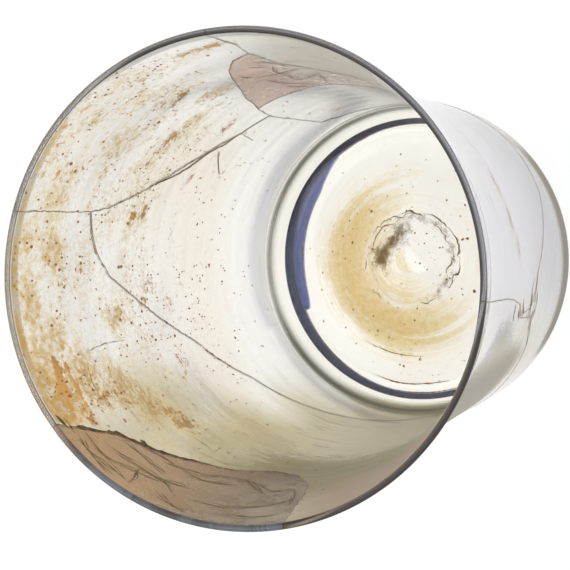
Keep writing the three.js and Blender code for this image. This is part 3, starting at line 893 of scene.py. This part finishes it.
class Shader(Nodes):
    """A material with one Principled shader and the nodes that feed it."""

    def __init__(self, name):
        self.material = bpy.data.materials.new(name)
        self.material.use_nodes = True
        super().__init__(self.material.node_tree)

    def main(self, name, value):
        """Sets an input of the Principled shader."""
        self.put(self.tree.nodes["Principled BSDF"].inputs[name], value)

    def layer(self, name, vector=False):
        return self.node("ShaderNodeAttribute", attribute_name=name, out=1 if vector else 2)

    def bump(self, height, strength, distance):
        made = self.tree.nodes.new("ShaderNodeBump")
        self.put(made.inputs["Strength"], strength)
        self.put(made.inputs["Distance"], distance)
        self.put(made.inputs["Height"], height)
        self.main("Normal", made.outputs[0])

    def absorb(self, colour, density):
        volume = self.node("ShaderNodeVolumeAbsorption", (*colour, 1), density)
        self.put(self.tree.nodes["Material Output"].inputs["Volume"], volume)


GOLD = (0.66, 0.37, 0.05, 1)
PALE_GOLD = (0.97, 0.79, 0.4, 1)
RUST = (0.76, 0.36, 0.06, 1)
DARK_RUST = (0.44, 0.19, 0.03, 1)
SPECK = (0.34, 0.13, 0.02, 1)
STREAK = (0.6, 0.53, 0.42, 1)
SOIL = (0.22, 0.13, 0.04, 1)
LIP_SHADE = (0.03, 0.024, 0.022, 1)


def glass_material():
    """Old clear glass with thin films, golden stains, rust-coloured blotches and specks of dirt, and painted
    shade laid on like the films, on the wall, at the turn and in dark lines along the lip.
    """
    s = Shader("weathered_glass")
    wrap = s.layer("wrap", vector=True)
    streaks = s.noise(s.scaled(wrap, (1, 1, 5)), 3, 3, 0.45)
    clouds = s.noise(s.scaled(wrap, (1, 1, 1.6)), 3.2, 7, 0.64)
    blotches = s.noise(s.scaled(wrap, (1, 1, 0.9)), 17, 9, 0.7)
    radius = s.layer("radius")
    on_rings = s.node("ShaderNodeCombineXYZ", radius, s.times(clouds, 0.6))
    rings = s.noise(on_rings, 3.4, 4, 0.6)
    gold = s.layer("gold")
    mottle = s.noise(s.scaled(wrap, (1, 1, 0.8)), 30, 8, 0.72)
    fine_clouds = s.plus(s.times(clouds, 0.45), s.times(mottle, 0.55))
    texture = s.mixed(s.step(radius, 3.4, 3.8), rings, fine_clouds)
    gold_share = s.step(s.plus(s.times(gold, 0.42), s.times(texture, 0.9)), 0.5, 0.78)
    least_gold = s.step(radius, 3.4, 3.8, 1.0, 0.55)
    gold_share = s.times(gold_share, s.step(gold, 0.04, 0.4), s.step(mottle, 0.3, 0.6, least_gold, 1.0))
    rust = s.layer("rust")
    gathered_rust = s.times(rust, s.step(clouds, 0.4, 0.58, 0.5, 1.15))
    broken = s.plus(s.times(blotches, 0.65), s.times(mottle, 0.35))
    rust_share = s.step(s.plus(s.times(gathered_rust, 0.2), broken), 0.61, 0.7)
    rust_share = s.times(rust_share, s.step(rust, 0.05, 0.3))
    grit = s.noise(s.scaled(wrap, (1, 1, 0.7)), 36, 5, 0.65)
    grit_share = s.step(s.plus(s.times(rust, 0.16), grit), 0.6, 0.7)
    gathered_grit = s.times(s.step(rust, 0.05, 0.4), s.step(clouds, 0.44, 0.56))
    grit_share = s.times(grit_share, gathered_grit)
    rust_share = s.most(rust_share, s.times(grit_share, 0.8))
    specks = s.layer("specks")
    gatherings = s.times(specks, s.step(clouds, 0.42, 0.58, 0.15, 1.2))
    small = s.dots(s.scaled(wrap, (1, 1, 0.5)), 60, s.times(gatherings, 0.5))
    large = s.dots(s.scaled(wrap, (1, 1, 0.6)), 36, s.times(gatherings, 0.2))
    speck_share = s.most(small, large)
    soil = s.layer("soil")
    soil_share = s.step(s.plus(s.times(soil, 0.5), s.times(blotches, 1.4)), 0.86, 1.36)
    soil_share = s.times(soil_share, s.step(soil, 0.05, 0.4))
    streak_share = s.times(s.step(streaks, 0.48, 0.72), s.step(s.layer("calm"), 0, 1, 0.24, 0.04))
    colour = s.mix(streak_share, s.node("ShaderNodeAttribute", attribute_name="tone"), STREAK)
    golden = s.mix(s.step(s.plus(gold, s.times(mottle, 1.2)), 0.8, 1.8), PALE_GOLD, GOLD)
    colour = s.mix(gold_share, colour, golden)
    rusty = s.mix(s.step(streaks, 0.44, 0.66), RUST, DARK_RUST)
    colour = s.mix(s.times(rust_share, 0.95), colour, rusty)
    colour = s.mix(soil_share, colour, SOIL)
    colour = s.mix(speck_share, colour, SPECK)
    uneven_film = s.step(streaks, 0.35, 0.7, s.step(s.layer("calm"), 0, 1, 0.62, 0.94), 1.14)
    strong_gold = s.mixed(s.step(s.layer("matt"), 0, 0.2), 0.19, s.step(gold, 0.7, 1.4, 0.56, 0.8))
    cover = s.most(
        s.times(s.layer("film_and_shade"), uneven_film),
        s.times(gold_share, strong_gold),
        s.times(rust_share, 0.72),
        s.times(soil_share, 0.9),
        s.times(speck_share, 0.85),
        s.times(s.layer("lip"), 0.88),
    )
    # Dark painted shade along the lip.
    s.main("Base Color", s.mix(s.layer("lip"), colour, LIP_SHADE))
    s.main("Transmission Weight", s.maths("SUBTRACT", 1.0, cover))
    smoothness = s.mixed(s.layer("matt"), 0.03, 0.12)
    s.main("Roughness", s.most(smoothness, s.step(cover, 0.1, 0.8, 0.02, 0.4)))
    s.main("IOR", 1.5)
    s.bump(s.plus(rust_share, speck_share), 0.15, 0.0001)
    s.absorb((0.8, 0.84, 0.73), 30)
    return s.material


def resin_material(name, dark, light, shaded, rim, clear):
    """Tinted casting resin, slightly cloudy, with painted shade along its lip."""
    s = Shader(name)
    wrap = s.layer("wrap", vector=True)
    cloud = s.noise(s.scaled(wrap, (1, 1, 1)), 5, 5, 0.6)
    grain = s.noise(s.scaled(wrap, (1, 1, 0.8)), 40, 3, 0.6)
    colour = s.mix(s.step(cloud, 0.3, 0.7), (*dark, 1), (*light, 1))
    colour = s.mix(s.layer("shade"), colour, (*shaded, 1))
    # Along the lip the resin takes the rim colour, painted shade: dark, with paler patches.
    paler_rim = tuple(2.8 * channel for channel in rim)
    painted_rim_shade = s.mix(s.step(cloud, 0.42, 0.6), (*rim, 1), (*paler_rim, 1))
    colour = s.mix(s.times(s.layer("lip"), 0.95), colour, painted_rim_shade)
    s.main("Base Color", colour)
    s.main("Roughness", s.step(cloud, 0.3, 0.7, 0.15, 0.35))
    s.main("Transmission Weight", s.mixed(s.layer("lip"), clear, 0.2))
    s.main("IOR", 1.45)
    s.bump(grain, 0.05, 0.0001)
    return s.material


def blue_material(name, absorbed, density, pale):
    """Deep cobalt glass."""
    s = Shader(name)
    position = s.node("ShaderNodeTexCoord", out=3)
    streaks = s.noise(s.scaled(position, (1, 1, 3)), 160, 4, 0.6)
    s.main("Base Color", s.mix(s.step(streaks, 0.35, 0.7), (*pale, 1), (0.5, 0.78, 1, 1)))
    s.main("Transmission Weight", 0.95)
    s.main("Roughness", s.step(streaks, 0.3, 0.7, 0.05, 0.2))
    s.main("IOR", 1.25)
    s.bump(streaks, 0.2, 0.0004)
    s.absorb(absorbed, density)
    return s.material


def dirt_material(name, dark, light, roughness):
    """Old adhesive or crusted dirt: uneven, darker and lighter in spots."""
    s = Shader(name)
    position = s.node("ShaderNodeTexCoord", out=3)
    spots = s.noise(position, 900, 4, 0.6)
    s.main("Base Color", s.mix(s.step(spots, 0.35, 0.65), (*dark, 1), (*light, 1)))
    s.main("Roughness", roughness)
    s.bump(spots, 0.4, 0.0002)
    return s.material


GLASS = glass_material()
WALL_RESIN = resin_material(
    "pink_resin", (0.88, 0.64, 0.53), (1, 0.84, 0.74), (1, 0.9, 0.8), (0.3, 0.25, 0.2), 0.84
)
RIM_RESIN = resin_material(
    "brown_resin", (0.56, 0.36, 0.17), (0.7, 0.48, 0.27), (0.31, 0.2, 0.065), (0.042, 0.05, 0.06), 0.62
)
RING_BLUE = blue_material("cobalt_glass_thick", (0.02, 0.16, 0.5), 1400, (0.3, 0.45, 0.85))
LAP_BLUE = blue_material("cobalt_glass_clear", (0.01, 0.52, 0.8), 2000, (0.1, 0.5, 1))
ADHESIVE = dirt_material("old_adhesive", (0.13, 0.09, 0.045), (0.42, 0.32, 0.2), 0.5)
CRUST = dirt_material("brown_crust", (0.5, 0.34, 0.15), (0.8, 0.6, 0.33), 0.8)
CREASE = dirt_material("resin_crease", (0.13, 0.085, 0.03), (0.22, 0.15, 0.06), 0.5)
EDGE_DIRT = dirt_material("edge_dirt", (0.07, 0.045, 0.015), (0.2, 0.13, 0.05), 0.7)
RESIDUE = dirt_material("orange_residue", (0.25, 0.12, 0.03), (0.62, 0.38, 0.14), 0.8)

# The outline of each sherd: its break lines in order, with an azimuth where it goes along the rim.
SHERDS = {
    "base": ["-back", "left", "front"],
    "back_wall": ["rim_back", "back", "-short", "-fill_back", "-rim_right", 67.6],
    "right_wall": ["rim_front", "front", "-short", "fill_lower", "fill_upper", "-rim_right", 259.4],
    "left_wall": ["-rim_back", 118.5, "rim_fill", 259.4, "rim_front", "-left"],
}
for name, steps in SHERDS.items():
    shell(name + "_glass", steps, GLASS, name + "_sherd")
shell("wall_fill_resin", ["fill_back", "fill_lower", "fill_upper"], WALL_RESIN, "wall_fill")
shell("rim_fill_resin", ["-rim_fill", 184.1], RIM_RESIN, "rim_fill")


def tube(name, sides, material):
    """A closed solid between long rows of points, one row for each of its sides."""
    count = len(sides)
    points = np.stack(sides, 1).reshape(-1, 3)
    faces = []
    for start in range(0, len(points) - count, count):
        for k in range(count):
            a, b = start + k, start + (k + 1) % count
            faces.append([a, b, b + count, a + count])
    faces.append(list(range(count))[::-1])
    faces.append(list(range(len(points) - count, len(points))))
    mesh_piece(name, points, faces, material)


def ribbon(name, line, width, seed, taper=0.0):
    """A thin bead of adhesive through the wall that stands slightly proud on both faces."""
    rng = np.random.default_rng(seed)
    azimuth, z = line.T
    radius = wall_radius(z)
    turn = np.gradient(azimuth) * radius
    rise = np.gradient(z)
    length = np.hypot(turn, rise)
    across = np.column_stack([-rise / length / radius, turn / length])
    share = np.linspace(0, 1, len(line))
    slim = np.minimum(1, np.minimum(share, 1 - share) / taper) if taper else np.ones(len(line))
    half = width / 2 * np.clip(slim, 0.08, 1) * (1 + 0.25 * rng.normal(size=len(line)).clip(-1.5, 1.5))
    sides = []
    for inside in (True, False):
        for side in (-1, 0, 1) if inside else (1, 0, -1):
            moved = line + across * (side * half)[:, None]
            points = surface(moved[:, 0], reach_of(np.minimum(moved[:, 1], WALL_TOP)), inside)
            flat = np.hypot(points[:, 0], points[:, 1])
            out = PROUD if side else 2 * PROUD
            held = np.minimum(flat + (-out if inside else out), MOUTH_RADIUS)
            points[:, :2] *= (held / flat)[:, None]
            sides.append(points)
    tube(name, sides, ADHESIVE)


for seed, name in enumerate(BREAKS):
    ribbon("join_" + name, LINES[name], JOIN_WIDTH, seed)
for seed, (name, corners) in enumerate(CRACKS.items()):
    crack = uneven([(math.radians(a), z * MM) for a, z in corners], np.random.default_rng(50 + seed))
    ribbon("crack_" + name, crack, CRACK_WIDTH, 50 + seed, taper=0.4)


def eased(points, step=0.9 * MM):
    """A smooth line of short steps through [azimuth, height in mm] points, as radians and reaches."""
    corners = np.array([(math.radians(azimuth), reach_of(z * MM)) for azimuth, z in points])
    padded = np.vstack([2 * corners[0] - corners[1], corners, 2 * corners[-1] - corners[-2]])
    line = []
    for a, b, c, d in zip(padded, padded[1:], padded[2:], padded[3:]):
        length = math.hypot((c[0] - b[0]) * BODY_RADIUS, c[1] - b[1])
        for t in np.arange(0, 1, 1 / max(2, round(length / step))):
            curve = (2 * a - 5 * b + 4 * c - d) * t**2 + (3 * b - a - 3 * c + d) * t**3
            line.append((2 * b + (c - a) * t + curve) / 2)
    line.append(corners[-1])
    return np.array(line)


def at_radius(radius):
    """The reach of a place on the base or the turn that is this far from the axis."""
    share = np.clip((radius - DOME_RADIUS) / TURN_WIDTH, 0, 1)
    on_turn = DOME_RADIUS + TURN_LENGTH * np.arcsin(share) / (math.pi / 2)
    return np.where(radius < DOME_RADIUS, radius, on_turn)


def trail(name, line, width, lift, material, inside=True, taper=0.3, seed=0, broad=0.0):
    """A thin raised line on a face of the vessel, with its width uneven and its ends running out.

    With broad above 0 it is that much wider where it runs round the vessel.
    """
    rng = np.random.default_rng(seed)
    azimuth, reach = line.T
    here = surface(azimuth, reach, inside)
    turned = surface(azimuth + NUDGE / np.maximum(reach, NUDGE), reach, inside) - here
    raised = surface(azimuth, reach + NUDGE, inside) - here
    normal = np.cross(turned, raised) * (-1 if inside else 1)
    normal /= np.linalg.norm(normal, axis=1)[:, None]
    side = np.cross(normal, np.gradient(here, axis=0))
    side /= np.linalg.norm(side, axis=1)[:, None]
    share = np.linspace(0, 1, len(line))
    ends = np.clip(np.minimum(share, 1 - share) / taper, 0.12, 1)
    half = width / 2 * ends * np.clip(1 + 0.35 * rng.normal(size=len(line)), 0.4, 1.8)
    round_step = np.gradient(azimuth) * np.maximum(reach, NUDGE)
    half *= 1 + broad * round_step**2 / (round_step**2 + np.gradient(reach) ** 2 + (0.01 * MM) ** 2)
    sides = []
    for k in range(TUBE_SIDES):
        angle = 2 * math.pi * k / TUBE_SIDES
        width_here = side * (half * math.cos(angle))[:, None]
        sides.append(here + width_here + normal * (lift * ends * math.sin(angle))[:, None])
    tube(name, sides, material)


def crease(name, points, width, seed, partners):
    """A crease in a fill, and finer lines beside it, given as the end of the name and the distance in mm."""
    line = eased(points)
    trail(name, line, width, 0.07 * MM, CREASE, taper=0.15, seed=seed, broad=0.6)
    share = np.linspace(0, math.pi, len(line))
    cut = max(1, len(line) // 10)
    for k, (ending, distance) in enumerate(partners):
        turned = 0.01 * np.sin(2 * share + seed + k)
        raised = distance * MM * np.cos(share * 1.3 + seed + k)
        fine = (line + np.column_stack([turned, raised]))[cut:-cut]
        own = seed + 40 * (k + 1)
        trail(name + ending, fine, 0.18 * MM, 0.05 * MM, CREASE, taper=0.2, seed=own, broad=0.9)


for seed, points in enumerate(RIM_FILL_CREASES):
    partners = (("_fine", 1.4), ("_faint", -1.1))
    crease("rim_fill_crease_" + str(seed + 1), points, 0.28 * MM, seed, partners)
for seed, points in enumerate(WALL_FILL_CREASES):
    crease("wall_fill_crease_" + str(seed + 1), points, 0.22 * MM, seed, (("_fine", 1.4),))
for seed, points in enumerate(OUTER_CRACKS):
    name = "outer_crack_" + str(seed + 1)
    line = eased(points)
    trail(name, line, 0.3 * MM, 0.05 * MM, EDGE_DIRT, inside=False, seed=seed + 70, broad=3.2)
for seed, points in enumerate(HAIRLINES):
    trail("hairline_" + str(seed + 1), eased(points), 0.3 * MM, 0.03 * MM, RESIDUE, seed=seed)


def thread_inside(azimuth):
    """The inside radius of the foot thread, which is thicker on one side."""
    facing = np.maximum(0, np.cos(azimuth - math.radians(THICK_SIDE)))
    return FOOT_RADIUS - THREAD_THIN - (THREAD_THICK - THREAD_THIN) * facing**2


def thread_section(azimuth, inside, outside):
    """A rounded section that is flat underneath and follows the base on top."""
    middle, half = (inside + outside) / 2, (outside - inside) / 2
    points = []
    for k in range(THREAD_SIDES):
        angle = 2 * math.pi * k / THREAD_SIDES
        across = middle + half * math.copysign(abs(math.cos(angle)) ** 0.6, math.cos(angle))
        top = float(underside(np.array(across))) - 0.06 * MM
        up = top / 2 + top / 2 * math.copysign(abs(math.sin(angle)) ** 0.45, math.sin(angle))
        points.append(around(np.array([azimuth]), across, max(up, 0))[0])
    return points


def sweep(name, sections, closed, material):
    """A piece of the foot through its sections, closed to a ring or with two ends."""
    count = len(sections[0])
    points = [p for section in sections for p in section]
    faces = []
    last = len(sections) if closed else len(sections) - 1
    for i in range(last):
        for k in range(count):
            a, b = i * count + k, i * count + (k + 1) % count
            step = ((i + 1) % len(sections) - i) * count
            faces.append([a, a + step, b + step, b])
    if not closed:
        faces.append(list(range(count)))
        faces.append(list(range(len(points) - count, len(points)))[::-1])
    return mesh_piece(name, points, faces, material, smooth_angle=60)


ring = []
for k in range(RING_STEPS):
    azimuth = 2 * math.pi * k / RING_STEPS
    ring.append(thread_section(azimuth, float(thread_inside(azimuth)), FOOT_RADIUS))
thread = sweep("foot_ring_glass", ring, True, RING_BLUE)
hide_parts("foot_thread")
lap = []
for k in range(LAP_STEPS + 1):
    share = k / LAP_STEPS
    azimuth = math.radians(LAP_START + (LAP_END - LAP_START) * share)
    swell = min(1, share / 0.24) * math.sqrt(1 - 0.8 * share**12)
    start = float(thread_inside(azimuth))
    lap.append(thread_section(azimuth, start - LAP_WIDTH * swell - 0.1 * MM, start - 0.03 * MM))
sweep("foot_lap_glass", lap, False, LAP_BLUE)

# Crust along the scar under the base, as [first azimuth, last azimuth, radius in mm, width in mm].
SCAR_CRUSTS = [
    [-24, 12, 12.6, 0.5], [-62, -20, 13.5, 0.4], [-99, -58, 13.9, 0.5], [-138, -95, 13.6, 0.45],
    [-176, -152, 12.2, 0.3], [80, 96, 13.9, 0.3], [119, 134, 14.4, 0.3], [-84, -30, 11.6, 0.3],
    [-130, -80, 12.4, 0.3], [-20, 60, 13.2, 0.3], [10, 80, 11.4, 0.35],
]


def wandering(start, end, radius, spread_mm, seed):
    """A line round the axis whose radius wanders."""
    rng = np.random.default_rng(seed)
    count = max(6, round(math.radians(end - start) * radius / 0.6))
    wander = np.cumsum(rng.normal(size=count)) * spread_mm
    wander -= np.linspace(wander[0], wander[-1], count)
    azimuth = np.radians(np.linspace(start, end, count))
    return np.column_stack([azimuth, at_radius((radius + wander) * MM)])


for seed, (start, end, radius, width) in enumerate(SCAR_CRUSTS):
    line = wandering(start, end, radius, 0.3, seed)
    name = "scar_crust_" + str(seed + 1)
    trail(name, line, width * MM, 0.12 * MM, CRUST, inside=False, seed=seed)
trail("base_line_outer", wandering(150, 191, 36.3, 0.05, 31), 0.4 * MM, 0.03 * MM, RESIDUE, seed=31)
trail("base_line_inner", wandering(138, 176, 28.4, 0.06, 32), 0.3 * MM, 0.02 * MM, RESIDUE, seed=32)
for seed, (start, end) in enumerate(((12, 32), (48, 105), (109, 150), (158, 196))):
    azimuth = np.radians(np.linspace(start, end, 60))
    edge = thread_inside(azimuth)
    if start > LAP_START and end < LAP_END:
        edge = edge - LAP_WIDTH
    line = np.column_stack([azimuth, at_radius(edge - 0.25 * MM)])
    name = "foot_residue_" + str(seed + 1)
    trail(name, line, 0.35 * MM, 0.1 * MM, RESIDUE, inside=False, seed=seed)
rim_edge = LINES["rim_fill"][3:40]
line = np.column_stack([rim_edge[:, 0], reach_of(rim_edge[:, 1]) - 0.2 * MM])
trail("rim_fill_edge_crust", line, 0.5 * MM, 0.1 * MM, EDGE_DIRT, seed=9, broad=1.6, taper=0.1)

# Dirt in the corner beside the rim fill, as a line like the cracks and its width in mm.
EDGE_DIRTS = [
    ([[118.2, 174.4], [120.2, 173.2], [122.6, 172.6]], 1.1),
    ([[133, 149.2], [135.2, 148.9], [137.2, 149.3]], 1.6),
    ([[119.4, 171.6], [121.6, 171.2], [124.2, 171.6]], 0.7),
]
for seed, (points, width) in enumerate(EDGE_DIRTS):
    name = "edge_dirt_" + str(seed + 1)
    trail(name, eased(points), width * MM, 0.12 * MM, EDGE_DIRT, seed=seed + 20)


# Two corners of the floor that the camera sees, in the floor's own X and Y.
FRAMED_FLOOR = ((-0.098, -0.064), (0.082, 0.138))
FLOOR_TURN = math.radians(-6.2)
FLOOR_EDGE = 0.008
CARD_EDGE = (0.4, 0.6)  # where the card fades out again, in metres from the middle
CARD_COLOUR = (0.4, 0.39, 0.38, 1)
FLOOR_SIZE = 3.0
FLOOR_HEIGHT = -0.05 * MM
WHITE = (1, 1, 1, 1)
SEEN_RAYS = ("Camera", "Glossy", "Transmission")  # the rays that show a background
SKY_TOP = 0.8
SKY_COLOURS = ((0.66, 0.66, 0.67, 1), (0.85, 0.85, 0.9, 1))  # at the horizon and above
AMBIENT_GREY = (0.75, 0.75, 0.76, 1)

CAMERA_PLACE = Vector((0, -0.21877, 0.85147))
CAMERA_HEADING = math.radians(90.686)
CAMERA_PITCH = math.radians(-72.902)
CAMERA_ROLL = math.radians(97.227)
CAMERA_LENS = 189.47  # in mm, on a sensor of 36 mm
SENSOR_WIDTH = 36


def floor_colour(n):
    """White, with a darker card round the object that only glass and reflections see, for their edges."""
    place = n.node("ShaderNodeTexCoord", out="Object")
    fades = []
    for axis in (0, 1):
        along = n.node("ShaderNodeSeparateXYZ", place, out=axis)
        for edge, outwards in zip((FRAMED_FLOOR[0][axis], FRAMED_FLOOR[1][axis]), (-1, 1)):
            fades.append(n.step(along, edge + outwards * FLOOR_EDGE, edge))
    away = n.node("ShaderNodeVectorMath", place, out="Value", operation="LENGTH")
    beyond = n.node("ShaderNodeMapRange", away, *CARD_EDGE)
    return n.mix(n.most(n.times(*fades), beyond, n.rays("Camera")), CARD_COLOUR, WHITE)


def make_floor():
    """A pale floor that shows white, with a faint shadow."""
    turns = ((-1, -1), (1, -1), (1, 1), (-1, 1))
    corners = [(x * FLOOR_SIZE, y * FLOOR_SIZE, FLOOR_HEIGHT) for x, y in turns]
    mesh = bpy.data.meshes.new("floor")
    mesh.from_pydata(corners, [], [[0, 1, 2, 3]])
    floor = bpy.data.objects.new("floor", mesh)
    bpy.context.scene.collection.objects.link(floor)
    material = bpy.data.materials.new("floor_white")
    material.use_nodes = True
    tree = material.node_tree
    tree.nodes.remove(tree.nodes["Principled BSDF"])
    n = Nodes(tree)
    glow = n.node("ShaderNodeEmission", floor_colour(n), 0.93)
    shown = n.node("ShaderNodeAddShader", glow, n.node("ShaderNodeBsdfDiffuse", (0.1, 0.1, 0.1, 1)))
    plain = n.node("ShaderNodeBsdfDiffuse", (0.8, 0.8, 0.8, 1))
    mixed = n.node("ShaderNodeMixShader", n.rays(*SEEN_RAYS), plain, shown)
    n.put(tree.nodes["Material Output"].inputs["Surface"], mixed)
    mesh.materials.append(material)
    floor.rotation_euler = (0, 0, FLOOR_TURN)


def make_world():
    """White behind the object, and a soft studio with a greyer ceiling for its reflections."""
    world = bpy.data.worlds.new("studio")
    bpy.context.scene.world = world
    world.use_nodes = True
    n = Nodes(world.node_tree)
    height = n.node("ShaderNodeSeparateXYZ", n.node("ShaderNodeTexCoord", out="Generated"), out="Z")
    sky = n.mix(n.node("ShaderNodeMapRange", height, 0.0, SKY_TOP), *SKY_COLOURS)
    seen = n.mix(n.rays("Camera", "Transmission"), sky, WHITE)
    background = world.node_tree.nodes["Background"]
    n.put(background.inputs["Color"], n.mix(n.rays(*SEEN_RAYS), AMBIENT_GREY, seen))
    background.inputs["Strength"].default_value = 1.0


def make_lamp(name, place, target, size, power, colour):
    lamp = bpy.data.lights.new(name, "AREA")
    lamp.shape = "RECTANGLE"
    lamp.size, lamp.size_y = size
    lamp.energy = power
    lamp.color = colour
    holder = bpy.data.objects.new(name, lamp)
    bpy.context.scene.collection.objects.link(holder)
    holder.location = place
    toward = Vector(target) - Vector(place)
    holder.rotation_euler = toward.to_track_quat("-Z", "Y").to_euler()


def make_camera():
    """A long lens above the mouth, on the near side, turned so that +X is up in the picture."""
    level = math.cos(CAMERA_PITCH)
    ahead = (level * math.cos(CAMERA_HEADING), level * math.sin(CAMERA_HEADING), math.sin(CAMERA_PITCH))
    forward = Vector(ahead)
    side = forward.cross(Vector((0, 0, 1))).normalized()
    up = side.cross(forward)
    up = up * math.cos(CAMERA_ROLL) + side * math.sin(CAMERA_ROLL)
    right = forward.cross(up)
    data = bpy.data.cameras.new("camera")
    data.sensor_width = SENSOR_WIDTH
    data.lens = CAMERA_LENS
    data.clip_start = 0.01
    camera = bpy.data.objects.new("camera", data)
    bpy.context.scene.collection.objects.link(camera)
    turn = Matrix((right, up, -forward)).transposed()
    camera.matrix_world = Matrix.Translation(CAMERA_PLACE) @ turn.to_4x4()
    bpy.context.scene.camera = camera


make_floor()
make_world()
make_lamp("key", (-0.5, 0.7, 1.6), (0, 0, 0.08), (2, 2), 16, (1, 0.99, 0.97))
make_lamp("side", (0.4, -1.6, 0.8), (0, 0, 0.08), (1.4, 1.2), 9, (0.94, 0.94, 1))
make_camera()

scene = bpy.context.scene
scene.view_settings.view_transform = "Standard"

bpy.context.view_layer.update()
